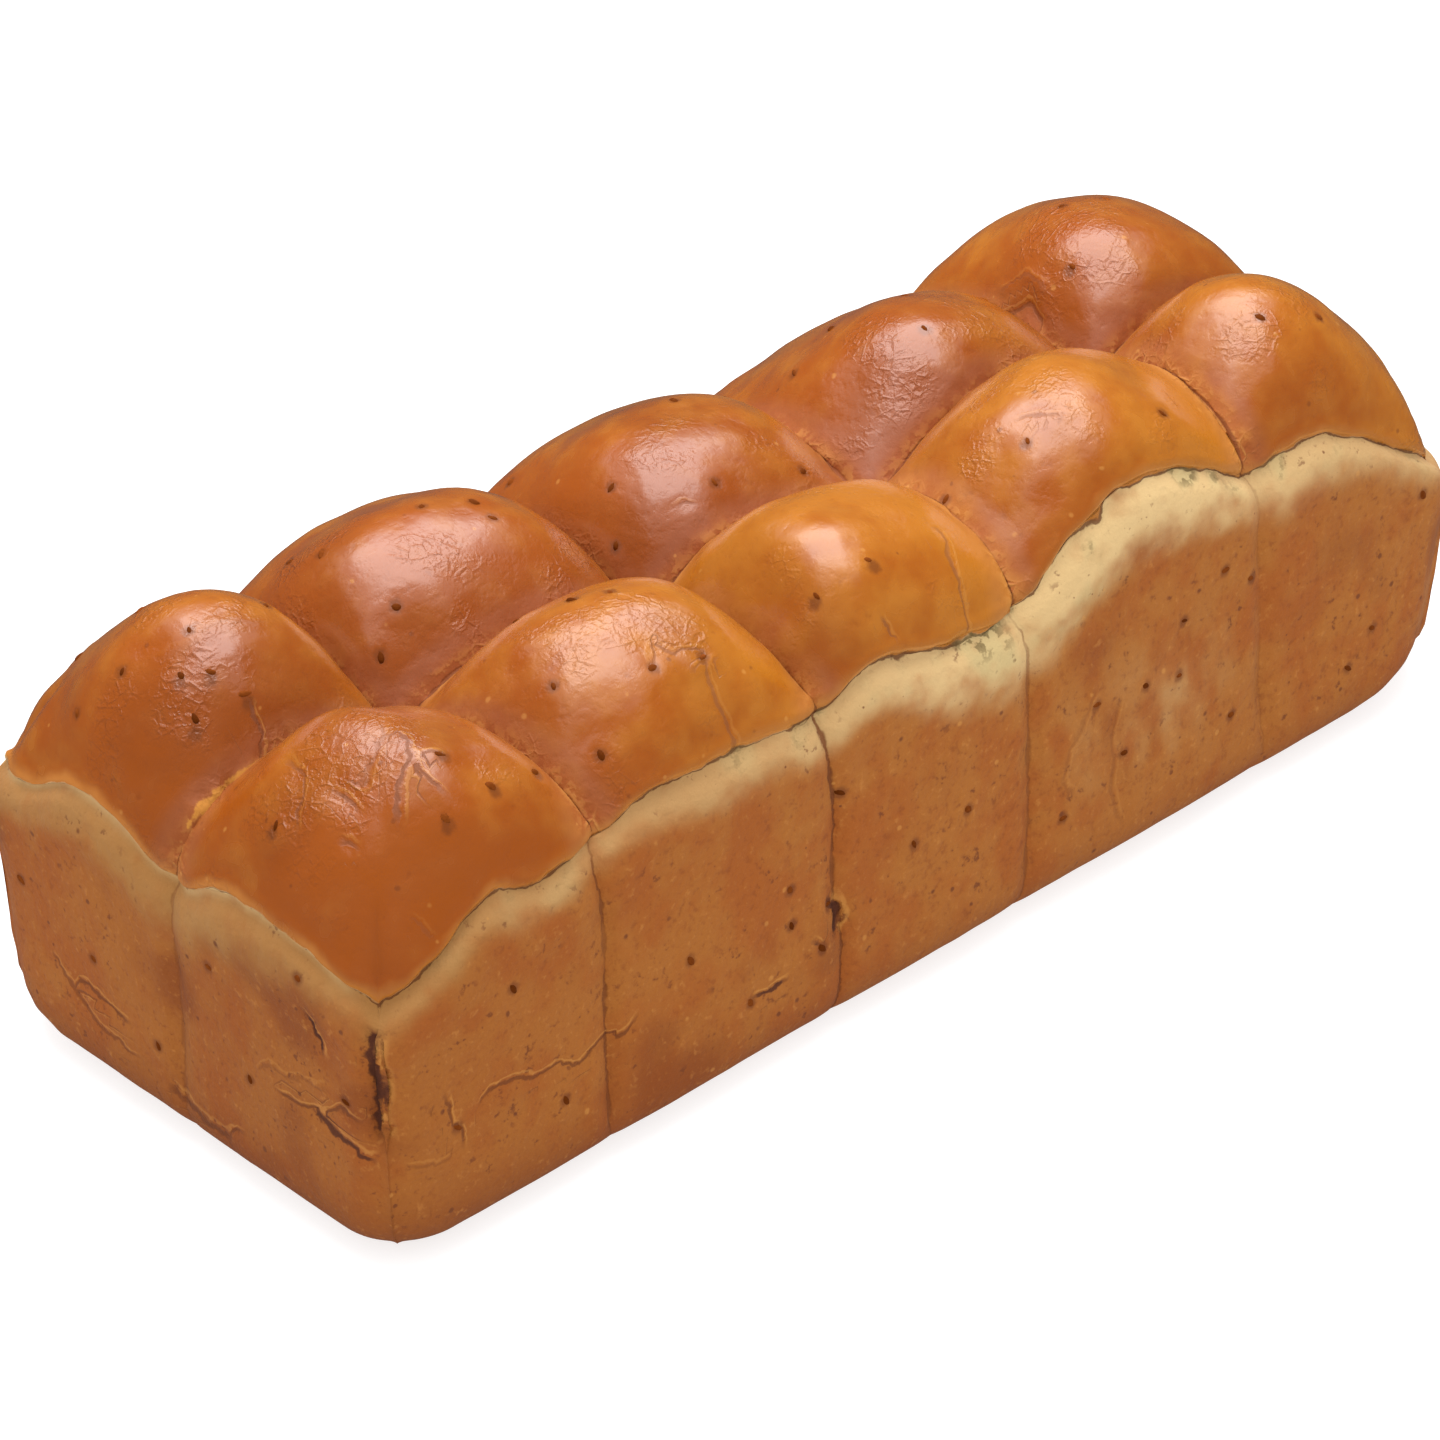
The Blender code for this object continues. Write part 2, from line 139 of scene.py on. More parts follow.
# Width and paleness of the band below the crack: front wall, two steps to a ball, and near end
bandWidth = {"front": (9, 12, 10, 12, 11, 16, 23, 21, 16, 15, 10), "near": (9, 15, 17, 15, 11), "hidden": 12}
bandPaleness = {"front": (0.08, 0.15, 0.30, 0.35, 0.55, 0.85, 0.9, 1.0, 0.8, 0.55, 0.45),
                "near": (0.06, 0.06, 0.06, 0.06, 0.06), "hidden": 0.35}
crackRaggedness = {"front": (0.8, 0.9, 0.9, 1.0, 0.9, 1.3, 1.7, 1.7, 1.1, 0.8, 0.7),
                   "near": (0.8, 0.8, 0.8, 0.8, 0.8), "hidden": 1.0}
wallDepth = {"front": (0.40, 0.35, 0.25, 0.18, 0.10, 0.05, 0.0, 0.0, 0.0, 0.05, 0.1),
             "near": (0.40, 0.45, 0.40, 0.30, 0.30), "hidden": 0.15}
# How plain each seam shows: front wall, near end, and the hidden sides
seamStrength = {"front": (0.85, 1.0, 0.6, 0.3), "near": 0.45, "hidden": 0.6}
# How golden rather than red-brown each ball's glaze is: front row and back row of each column
ballGold = ((0.30, 0.46), (0.58, 0.30), (0.85, 0.36), (0.72, 0.40), (0.66, 0.44))

# Wrinkles: a surface, height in mm (a groove is negative), half width in mm, darkness, and places.
# Dome places count columns and rows, wall places count balls and mm above the floor
wrinkles = (
    ("dome", -0.7, 1.3, 0.4, ((0.27, 0.73), (0.24, 0.62), (0.21, 0.58), (0.15, 0.53), (0.10, 0.50))),
    ("dome", -0.6, 1.3, 0.3, ((0.53, 0.53), (0.46, 0.46), (0.38, 0.42), (0.31, 0.38), (0.24, 0.38))),
    ("dome", 0.8, 1.2, 0.7,
     ((0.50, 0.46), (0.50, 0.38), (0.46, 0.31), (0.42, 0.31), (0.35, 0.27), (0.31, 0.21))),
    ("dome", 0.8, 1.2, 0.7, ((0.46, 0.31), (0.53, 0.31), (0.55, 0.26))),
    ("dome", 0.8, 1.2, 0.7, ((0.46, 0.31), (0.46, 0.24), (0.47, 0.18))),
    ("dome", -0.8, 1.2, 0.7, ((0.24, 0.46), (0.24, 0.38), (0.24, 0.33))),
    ("dome", -0.4, 1.1, 0.5, ((0.15, 0.35), (0.18, 0.27))),
    ("dome", 0.4, 1.1, 0.2, ((0.18, 0.08), (0.21, 0.05), (0.24, 0.02))),
    ("dome", -0.5, 1.0, 0.7, ((0.42, 1.11), (0.41, 1.06), (0.38, 1.00))),
    ("dome", 0.4, 1.6, 0.1, ((0.24, 1.35), (0.35, 1.30), (0.50, 1.30), (0.70, 1.27))),
    ("dome", -0.4, 1.1, 0.4, ((1.62, 0.18), (1.60, 0.12), (1.60, 0.07), (1.62, 0.01))),
    ("dome", -0.5, 1.1, 0.5, ((1.43, 0.21), (1.48, 0.27), (1.52, 0.21), (1.58, 0.22), (1.65, 0.20))),
    ("dome", 0.4, 1.1, 0.3, ((1.52, 0.15), (1.60, 0.15), (1.68, 0.18))),
    ("dome", -0.4, 1.1, 0.5, ((2.77, 0.27), (2.80, 0.22), (2.77, 0.14), (2.74, 0.07), (2.73, 0.01))),
    ("dome", -0.4, 1.1, 0.5, ((2.33, 0.07), (2.35, 0.04), (2.36, 0.02))),
    ("dome", -0.4, 1.1, 0.4, ((3.27, 0.42), (3.33, 0.35), (3.38, 0.27))),
    ("dome", 0.4, 1.1, 0.2, ((3.25, 0.31), (3.33, 0.27), (3.40, 0.27))),
    ("dome", -0.3, 1.1, 0.4, ((2.23, 1.12), (2.27, 1.12), (2.32, 1.10))),
    ("dome", -0.9, 1.4, 0.6, ((3.86, 1.50), (4.02, 1.44), (4.08, 1.34), (4.05, 1.24))),
    ("dome", 0.9, 1.3, 0.3, ((3.90, 1.40), (4.00, 1.34), (4.03, 1.22), (4.02, 1.12))),
    ("dome", 0.7, 1.2, 0.3, ((4.08, 1.50), (4.14, 1.40), (4.13, 1.28))),
    ("front", -0.5, 1.1, 0.8, ((0.40, 32), (0.46, 35), (0.65, 33), (0.85, 29), (1.07, 30))),
    ("front", -0.4, 1.0, 0.8, ((0.96, 27), (1.05, 29), (1.12, 33))),
    ("front", -0.7, 1.3, 0.9, ((0.18, 37), (0.22, 35))),
    ("front", -0.4, 1.1, 0.8, ((0.27, 40), (0.27, 34), (0.31, 30), (0.31, 25))),
    ("front", 0.4, 1.1, 0.4, ((0.07, 25), (0.15, 25), (0.21, 24), (0.28, 25))),
    ("front", -0.4, 1.1, 0.9, ((1.60, 21), (1.70, 20), (1.78, 21))),
    ("front", -0.8, 1.8, 1.0, ((1.99, 35), (2.01, 29), (1.98, 23))),
    ("front", -0.4, 1.1, 0.9, ((1.88, 27), (1.93, 23))),
    ("front", 0.4, 1.4, 0.3, ((3.27, 50), (3.20, 43), (3.15, 39), (3.12, 32), (3.17, 25))),
    ("front", -0.3, 1.2, 0.3, ((3.38, 44), (3.33, 35), (3.33, 22), (3.37, 12))),
    ("near", -2.0, 3.0, 1.0, ((0.06, 60), (0.05, 54), (0.04, 46), (0.05, 38), (0.04, 33))),
    ("near", -0.8, 1.5, 1.0, ((0.35, 56), (0.31, 55), (0.28, 52), (0.26, 47))),
    ("near", 0.4, 1.1, 0.4, ((0.60, 34), (0.50, 37), (0.38, 39), (0.24, 41))),
    ("near", -0.4, 1.1, 0.8, ((0.50, 32), (0.38, 33), (0.27, 34), (0.18, 37), (0.10, 36))),
    ("near", -0.4, 1.1, 0.8, ((0.78, 12), (0.68, 14))),
    ("near", -0.6, 2.2, 0.9, ((0.34, 34), (0.26, 31), (0.14, 29), (0.06, 27))),
    ("near", -0.4, 2.2, 0.8, ((1.08, 13), (0.92, 10), (0.74, 9))),
    ("near", -0.5, 1.2, 0.8, ((1.54, 26), (1.43, 26), (1.35, 24), (1.23, 23))),
    ("near", -0.4, 1.2, 0.7, ((1.62, 29), (1.50, 21), (1.38, 17), (1.20, 15))),
)


# A Catmull-Rom curve that passes through values spaced evenly by step
def smoothCurve(place, values, step):
    values = np.asarray(values, float)
    padded = np.concatenate([[2 * values[0] - values[1]], values, [2 * values[-1] - values[-2]]])
    spot = np.clip(np.asarray(place, float) / step, 0, len(values) - 1 - 1e-9)
    index = spot.astype(int)
    t = spot - index
    a, b, c, d = (padded[index + shift] for shift in range(4))
    cubic = (3 * b - a - 3 * c + d) * t ** 3
    square = (2 * a - 5 * b + 4 * c - d) * t ** 2
    return 0.5 * (2 * b + (c - a) * t + square + cubic)


# A bell of height 1: e to the minus square of distance over half width
def bell(distance, halfWidth):
    return np.exp(-(distance / halfWidth) ** 2)


# An eased step from 0 at start to 1 at end
def easedStep(value, start, end):
    t = np.clip((value - start) / (end - start), 0, 1)
    return t * t * (3 - 2 * t)


# Smooth random values from -1 to 1: random numbers on a cubic lattice, blended with eased weights
def spaceNoise(points, size, seed):
    lattice = np.random.default_rng(seed).uniform(-1, 1, (48, 48, 48))
    spot = points / size + 240
    low = np.floor(spot).astype(int)
    t = spot - low
    t = t * t * (3 - 2 * t)
    total = np.zeros(len(points))
    for corner in itertools.product((0, 1), repeat=3):
        weight = np.prod(np.where(corner, t, 1 - t), axis=1)
        i, j, k = ((low + corner) % 48).T
        total += weight * lattice[i, j, k]
    return total


# Layers of space noise, each half the size and half the strength of the one before
def layeredNoise(points, size, seed, layers=2):
    total = sum(spaceNoise(points, size / 2 ** k, seed + 50 * k) / 2 ** k for k in range(layers))
    return total / (2 - 2 ** (1 - layers))


# Crack height on a hidden side: level, dipped at the joints, and eased into both corners
def hiddenCrack(place, balls, start, end):
    level = loafForm["crackHidden"] - loafForm["crackDip"] * (0.5 + 0.5 * np.cos(2 * math.pi * place))
    return level + (start - level) * bell(place, 0.5) + (end - level) * bell(balls - place, 0.5)


# Crack heights on the four sides, blended over the plan as a Coons patch does
def crackHeight(u, v):
    front, near = loafForm["crackFront"], loafForm["crackNear"]
    farCorner = loafForm["crackHidden"] - loafForm["crackDip"]
    back = hiddenCrack(u, 5, near[-1], farCorner)
    far = hiddenCrack(v, 2, front[-1], farCorner)
    s, t = u / 5, v / 2
    corners = (1 - t) * ((1 - s) * front[0] + s * front[-1]) + t * ((1 - s) * near[-1] + s * farCorner)
    sides = (1 - t) * smoothCurve(u, front, 0.25) + t * back + (1 - s) * smoothCurve(v, near, 0.25) + s * far
    return sides - corners


# Where the line between the rows lies across the loaf
def rowMiddle(u):
    return smoothCurve(u, loafForm["rowLine"], 1.0)


# Plan position: u counts columns from 0 to 5, v counts rows from 0 to 2
def planPoint(u, v):
    front = np.interp(u, np.arange(6), loafForm["frontLines"])
    back = np.interp(u, np.arange(6), loafForm["backLines"])
    half = loafForm["width"] / 2
    row = rowMiddle(u)
    y = np.where(v < 1, -half + (row + half) * v, row + (half - row) * (v - 1))
    return front + (back - front) * v / 2, y


# A dome's outline over t from -1 to 1, a superellipse cut off at the given heights
def domeOutline(t, left, right, bluntness):
    side = np.where(t < 0, left, right)
    return np.sqrt(np.maximum(1 - np.abs(t) ** bluntness * (1 - side ** 2), 0))


# Height of the domes: an arch along the column times an outline across the row, above the crack
def domeHeight(u, v):
    column = np.minimum(np.floor(u), 4).astype(int)
    row = np.minimum(np.floor(v), 1).astype(int)
    p, q = 2 * (u - column) - 1, 2 * (v - row) - 1
    middleU, middleV = np.meshgrid(np.arange(5) + 0.5, np.arange(2) + 0.5, indexing="ij")
    rises = np.asarray(loafForm["tops"]) - crackHeight(middleU, middleV)
    creases = np.vstack([[0, 0], loafForm["creaseRise"], [0, 0]])
    bluntness, along, across = (np.asarray(loafForm[key]) for key in ("bluntness", "leanAlong", "leanAcross"))
    arch = []
    for k in (0, 1):
        rise = rises[column, k]
        left = np.clip(creases[column, k] / rise, 0, 1)
        right = np.clip(creases[column + 1, k] / rise, 0, 1)
        leaning = p + along[column, k] * (1 - p * p)
        arch.append(rise * domeOutline(leaning, left, right, bluntness[column, k]) + 1e-7)
    crease = loafForm["rowCrease"] * np.sqrt(arch[0] * arch[1])
    frontQ = q + across[column, 0] * (1 - q * q)
    backQ = q + across[column, 1] * (1 - q * q)
    front = domeOutline(frontQ, 0, np.clip(crease / arch[0], 0, 0.99), bluntness[column, 0])
    back = domeOutline(backQ, np.clip(crease / arch[1], 0, 0.99), 0, bluntness[column, 1])
    domes = np.where(row == 0, arch[0] * front, arch[1] * back)
    offU = (u - loafForm["ridgePlace"][0]) / loafForm["ridgeSize"][0]
    offV = (v - loafForm["ridgePlace"][1]) / loafForm["ridgeSize"][1]
    return crackHeight(u, v) + domes + loafForm["ridgeHeight"] * np.exp(-offU ** 2 - offV ** 2)


# Signed distance along X from the nearest inner column line, at the same share of the width
def columnOffset(x, v):
    front, back = (np.asarray(loafForm[key])[1:-1] for key in ("frontLines", "backLines"))
    offsets = np.ravel(x) - front[:, None] - (back - front)[:, None] * np.ravel(v) / 2
    nearest = np.abs(offsets).argmin(axis=0)
    return np.take_along_axis(offsets, nearest[None], axis=0).reshape(np.shape(x))


# How far a wall stands out of the plan, from its depth below the crack
def wallOffset(u, v, x, y, below, crack):
    form = loafForm
    groove = form["crackDepth"] * bell(below, form["crackHalfWidth"])
    band = form["bandSwell"] * bell(below - form["bandBelow"], form["bandHalfWidth"])
    share = np.clip(below / crack, 0, 1)
    upright = bell(columnOffset(x, v), form["jointHalfWidth"]) * np.abs(v - 1) ** 6
    atEnds = bell(y - rowMiddle(u), form["jointHalfWidth"]) * np.abs(u / 2.5 - 1) ** 20
    joints = form["jointDepth"] * (upright + atEnds) * np.clip((1 - share) * 5, 0, 1)
    phase = np.where(np.abs(v - 1) > 0.999, u, v)
    bulge = form["belly"] * np.sin(math.pi * phase) ** 2 * np.sin(math.pi * share)
    band = band * np.clip(below / form["bandBelow"], 0, 1)
    return band + bulge + form["wallFlare"] * share - groove - joints


# Plan radius at the corner nearest to a point
def cornerRadius(x, y, radii):
    nearCorner, left, right, far = radii
    return np.where(x < 0, np.where(y < 0, nearCorner, left), np.where(y < 0, right, far))


# Pushes plan points out by offset, then moves the square corners onto round ones
def shapedPlan(x, y, offset, radius):
    halfLength, halfWidth = loafForm["length"] / 2, loafForm["width"] / 2
    x, y = x * (1 + offset / halfLength), y * (1 + offset / halfWidth)
    coreX = np.clip(x, radius - halfLength - offset, halfLength + offset - radius)
    coreY = np.clip(y, radius - halfWidth - offset, halfWidth + offset - radius)
    outX, outY = x - coreX, y - coreY
    distance = np.hypot(outX, outY)
    reach = (np.abs(outX) ** 12 + np.abs(outY) ** 12) ** (1 / 12)     # the greater of the two, without a kink
    scale = np.where(distance > 1e-6, reach / np.maximum(distance, 1e-6), 1)
    return coreX + outX * scale, coreY + outY * scale


# Steps over the balls of a row: arcs crowded at the rim on outer halves, crowded at creases inside
def ballSteps(balls):
    outer = 1 - np.linspace(1, 0, crustMesh["outerSteps"] + 1)[1:] ** crustMesh["rimCrowding"]
    outer = np.sin(np.concatenate([[0], outer]) * math.pi / 2)
    t = np.linspace(0, 1, crustMesh["innerSteps"] + 1)
    inner = t + crustMesh["creaseCrowding"] * (np.sin(t * math.pi / 2) - t)
    steps = [np.zeros(1)]
    for ball in range(balls):
        left = outer if ball == 0 else inner
        right = outer if ball == balls - 1 else inner
        steps.append(ball + (1 - left[-2::-1]) / 2)
        steps.append(ball + (1 + right[1:]) / 2)
    return np.concatenate(steps)


# Distance from every grid point to a grid line, along the surface, from summed steps
def arcDistances(grid, axis, indices):
    steps = np.linalg.norm(np.diff(grid, axis=axis), axis=2)
    start = np.zeros_like(np.take(steps, [0], axis=axis))
    run = np.concatenate([start, np.cumsum(steps, axis=axis)], axis=axis)
    return np.min([np.abs(run - np.take(run, [k], axis=axis)) for k in indices], axis=0)


# The domes as a grid over u and v, with the distances that the crust's finish needs, in mm
def makeDomes():
    alongSteps, acrossSteps = ballSteps(5), ballSteps(2)
    u, v = np.meshgrid(alongSteps, acrossSteps, indexing="ij")
    x, y = planPoint(u, v)
    z = domeHeight(u, v)
    rimOffset = wallOffset(u, v, x, y, 0 * u, 0 * u + 1)
    topX, topY = shapedPlan(x, y, rimOffset, cornerRadius(x, y, loafForm["cornersHigh"]))
    grid = np.stack([topX, topY, z], axis=2)
    columnLines = [int(np.argmin(np.abs(alongSteps - k))) for k in range(1, 5)]
    rowLines = [int(np.argmin(np.abs(acrossSteps - 1)))]

    def lineDistances(columns, rows):
        return np.minimum(arcDistances(grid, 0, columns), arcDistances(grid, 1, rows)) * 1000

    return grid, {
        "crackDistance": lineDistances([0, len(alongSteps) - 1], [0, len(acrossSteps) - 1]),
        "creaseDistance": lineDistances(columnLines, rowLines),
        "u": u, "v": v, "planX": x, "planY": y,
    }


# The grid indices round the rim, counter-clockwise from above
def rimLoop(along, across):
    front = [(i, 0) for i in range(along - 1)]
    far = [(along - 1, j) for j in range(across - 1)]
    back = [(i, across - 1) for i in range(along - 1, 0, -1)]
    near = [(0, j) for j in range(across - 1, 0, -1)]
    return np.array(front + far + back + near).T


# The walls as rings below the rim: plan points pushed out by the wall's offset, then a quarter-round edge
def makeWalls(u, v, x, y, crack):
    edge = loafForm["bottomEdge"]
    shares = (np.arange(1, crustMesh["wallRings"] + 1) / crustMesh["wallRings"]) ** crustMesh["wallCrowding"]
    angles = np.arange(1, crustMesh["edgeRings"] + 1) / crustMesh["edgeRings"] * math.pi / 2
    heights = [crack + (edge - crack) * share for share in shares]
    heights += [edge * (1 - math.sin(angle)) + 0 * crack for angle in angles]
    insets = [0.0] * len(shares) + [edge * (1 - math.cos(angle)) for angle in angles]
    onFront = v < 1e-6
    rings, seams = [], []
    for z, inset in zip(heights, insets):
        offset = wallOffset(u, v, x, y, crack - z, crack) - inset
        low = np.clip(1 - z / loafForm["cornerFlareHeight"], 0, 1) ** 2
        high = cornerRadius(x, y, loafForm["cornersHigh"])
        radius = high + (cornerRadius(x, y, loafForm["cornersLow"]) - high) * low
        ringX, ringY = shapedPlan(x, y, offset, radius)
        for k, wander in enumerate(seamWander):
            line = loafForm["frontLines"][k + 1]
            push = smoothCurve(1 - z / crack, wander, 1 / 6) / 1000
            ringX = ringX + push * bell(x - line, 0.008) * onFront
        rings.append(np.stack([ringX, ringY, z], axis=1))
        sideways = np.where(np.abs(v - 1) > 0.999, columnOffset(x, v), y - rowMiddle(u))
        seams.append(sideways * 1000)
    return np.array(rings), np.array(seams)


# A closed mesh from the dome grid, the wall rings, and rings drawn in to a middle point underneath
def joinCrust(grid, rings, loop):
    along, across = grid.shape[:2]
    cell = (np.arange(along - 1)[:, None] * across + np.arange(across - 1)).ravel()
    quads = [np.column_stack([cell, cell + across, cell + across + 1, cell + 1])]
    under = [rings[-1] * (share, share, 1) for share in crustMesh["underRings"]]
    allRings = np.concatenate([rings, under])
    count = loop.shape[1]
    upper = loop[0] * across + loop[1]
    start = along * across
    for _ in allRings:
        lower = start + np.arange(count)
        quads.append(np.column_stack([np.roll(upper, -1), upper, lower, np.roll(lower, -1)]))
        upper = lower
        start += count
    middle = np.array([[0.0, 0.0, 0.0]])
    fan = np.column_stack([np.roll(upper, -1), upper, np.full(count, start)])
    points = np.concatenate([grid.reshape(-1, 3), allRings.reshape(-1, 3), middle])
    mesh = bpy.data.meshes.new("crust")
    mesh.from_pydata(points, [], np.concatenate(quads).tolist() + fan.tolist())
    return mesh, points


def vertexNormals(mesh):
    normals = np.empty(len(mesh.vertices) * 3, np.float32)
    mesh.vertices.foreach_get("normal", normals)
    return normals.reshape(-1, 3).astype(float)


def crustTree(mesh, points):
    return BVHTree.FromPolygons(points.tolist(), [tuple(face.vertices) for face in mesh.polygons])


# Where a ray meets the crust at a place: from above on a dome, from the side on a wall
def crustSpot(tree, side, place, second):
    if side == "dome":
        x, y = planPoint(np.array([float(place)]), np.array([float(second)]))
        start, direction = Vector((float(x[0]) * 0.97, float(y[0]) * 0.97, 0.2)), Vector((0, 0, -1))
    elif side in ("front", "back"):
        x, y = planPoint(np.array([float(place)]), np.array([0.0 if side == "front" else 2.0]))
        outward = -1 if side == "front" else 1
        start, direction = Vector((float(x[0]), 0.3 * outward, second / 1000)), Vector((0, -outward, 0))
    else:
        x, y = planPoint(np.array([0.0 if side == "near" else 5.0]), np.array([float(place)]))
        outward = -1 if side == "near" else 1
        start, direction = Vector((0.3 * outward, float(y[0]), second / 1000)), Vector((-outward, 0, 0))
    spot, normal, _, _ = tree.ray_cast(start, direction)
    return spot, normal


# Distances to listed lines: how far aside each point lies of its nearest line, and how present it is
def lineField(tree, points, normals):
    aside = np.full(len(points), 9.0)
    presence = np.zeros(len(points))
    relief = np.zeros(len(points))
    warp = np.stack([layeredNoise(points, 0.0055, 41 + axis) for axis in range(3)], axis=1)
    for surface, height, halfWidth, darkness, places in wrinkles:
        spots = [crustSpot(tree, surface, *place)[0] for place in places]
        knots = np.array([tuple(spot) for spot in spots if spot is not None])
        close = np.all((points > knots.min(0) - 0.008) & (points < knots.max(0) + 0.008), axis=1)
        near = points[close] + 0.0018 * warp[close]
        nearest = np.full(len(near), 1.0)
        side = np.zeros(len(near))
        alongLine = np.zeros(len(near))
        run, lengths = 0.0, np.linalg.norm(np.diff(knots, axis=0), axis=1)
        for start, end, length in zip(knots[:-1], knots[1:], lengths):
            direction = (end - start) / length
            t = np.clip((near - start) @ direction, 0, length)
            gap = near - start - t[:, None] * direction
            distance = np.linalg.norm(gap, axis=1)
            left = np.einsum("ij,ij->i", np.cross(direction, gap), normals[close])
            better = distance < nearest
            nearest = np.where(better, distance, nearest)
            side = np.where(better, np.where(left < 0, -1, 1), side)
            alongLine = np.where(better, run + t, alongLine)
            run += length
        taper = easedStep(np.minimum(alongLine, run - alongLine), -0.0002, 0.0025)
        relief[close] += height / 1000 * bell(nearest, halfWidth / 1000) * (0.35 + 0.65 * taper)
        here = darkness * taper * easedStep(nearest, 0.0045, 0.0020)
        stronger = here > presence[close]
        aside[close] = np.where(stronger, side * nearest * 1100 / halfWidth, aside[close])
        presence[close] = np.where(stronger, here, presence[close])
    return aside, presence, relief


aniseedForm = {
    "length": 0.0033, "width": 0.0019, "height": 0.0017, "sunk": 0.00045, "gap": 0.0050,
    "rings": 6, "sides": 8, "ribs": 0.10, "drawSeed": 7,
    "drawnOnDomes": 16, "drawnOnBack": 14, "drawnOnFarEnd": 5,
}
# Aniseeds on the domes: place along, place across, turn in degrees
domeSeeds = (
    (0.18, 1.45, 20), (0.27, 1.25, 60), (0.22, 1.14, 30), (0.42, 1.10, 80), (0.05, 1.56, 40),
    (0.35, 1.19, 70), (1.07, 1.15, 10), (0.55, 0.27, 15), (0.65, 0.15, 40), (0.07, 0.58, 20),
    (1.18, 1.20, 80), (1.18, 1.54, 70), (0.42, 0.12, 30), (1.15, 0.38, 50), (1.43, 0.21, 80),
    (1.62, 0.18, 85), (1.45, 0.65, 20), (1.55, 0.58, 10), (1.33, 0.80, 30), (2.05, 1.20, 15),
    (1.12, 0.12, 20), (0.88, 0.18, 45), (1.50, 1.45, 0), (1.65, 1.30, 0), (2.15, 1.32, 10),
    (2.80, 1.10, 75), (2.42, 1.12, 0), (2.38, 0.17, 50), (2.15, 0.20, 60), (3.25, 0.31, 50),
    (3.02, 0.50, 20), (3.73, 0.15, 0), (4.30, 0.30, 40), (4.55, 0.25, 10), (4.45, 1.50, 30),
    (4.62, 1.45, 60), (3.45, 1.20, 20), (3.60, 1.45, 50), (2.60, 1.50, 30), (4.20, 1.25, 70),
)
# Aniseeds on the walls: side, place along it, height in mm, turn in degrees
wallSeeds = (
    ("near", 0.80, 52, 80), ("near", 0.35, 64, 85), ("near", 1.76, 42, 70), ("near", 0.16, 40, 80),
    ("near", 1.10, 22, 30), ("near", 0.62, 30, 20), ("near", 1.40, 34, 60),
    ("front", 1.80, 42, 40), ("front", 1.80, 33, 20), ("front", 2.06, 58, 60), ("front", 1.35, 39, 30),
    ("front", 1.98, 32, 80), ("front", 1.93, 23, 40), ("front", 0.58, 56, 30), ("front", 2.38, 37, 20),
    ("front", 2.66, 38, 50), ("front", 3.12, 22, 90), ("front", 3.83, 62, 85), ("front", 3.95, 56, 60),
    ("front", 3.65, 55, 70), ("front", 3.48, 44, 60), ("front", 3.62, 42, 85), ("front", 3.27, 46, 80),
    ("front", 3.38, 30, 70), ("front", 3.85, 24, 80), ("front", 4.40, 19, 50), ("front", 4.52, 26, 60),
    ("front", 4.76, 54, 30), ("front", 1.60, 20, 30), ("front", 0.30, 30, 50), ("front", 0.78, 22, 20),
)


# The places of all aniseeds: those seen, then a seeded draw on the hidden slopes and walls
def seedPlaces():
    places = [("dome", u, v, turn) for u, v, turn in domeSeeds]
    places += list(wallSeeds)
    draw = random.Random(aniseedForm["drawSeed"])
    for _ in range(aniseedForm["drawnOnDomes"]):
        places.append(("dome", draw.uniform(0.1, 4.9), draw.uniform(1.3, 1.92), draw.uniform(0, 180)))
    for _ in range(aniseedForm["drawnOnBack"]):
        height = draw.uniform(0.014, 0.056) * 1000
        places.append(("back", draw.uniform(0.3, 4.7), height, draw.uniform(0, 180)))
    for _ in range(aniseedForm["drawnOnFarEnd"]):
        height = draw.uniform(0.014, 0.050) * 1000
        places.append(("far", draw.uniform(0.3, 1.7), height, draw.uniform(0, 180)))
    return places


# Where each aniseed sits on the crust: its spot, the way out of the crust, and its turn
def seedSeats(tree):
    seats = []
    for side, place, second, turn in seedPlaces():
        spot, normal = crustSpot(tree, side, place, second)
        if spot is None or any((spot - other[0]).length < aniseedForm["gap"] for other in seats):
            continue
        seats.append((spot, normal, turn))
    return seats


# Distance in mm from every point to the nearest aniseed's middle
def seedDistances(points, seats):
    nearest = np.full(len(points), 0.05)
    for spot, _, _ in seats:
        nearest = np.minimum(nearest, np.linalg.norm(points - np.array(spot), axis=1))
    return nearest * 1000


# Values along the seen sides, blended in for the hidden ones
def sideValue(u, v, table):
    front = smoothCurve(u, table["front"], 0.5)
    near = smoothCurve(v, table["near"], 0.5)
    value = np.full(np.shape(u), float(table["hidden"]))
    value = np.where(v < 1e-6, front, value)
    return np.where((u < 1e-6) & (v > 1e-6), near, value)


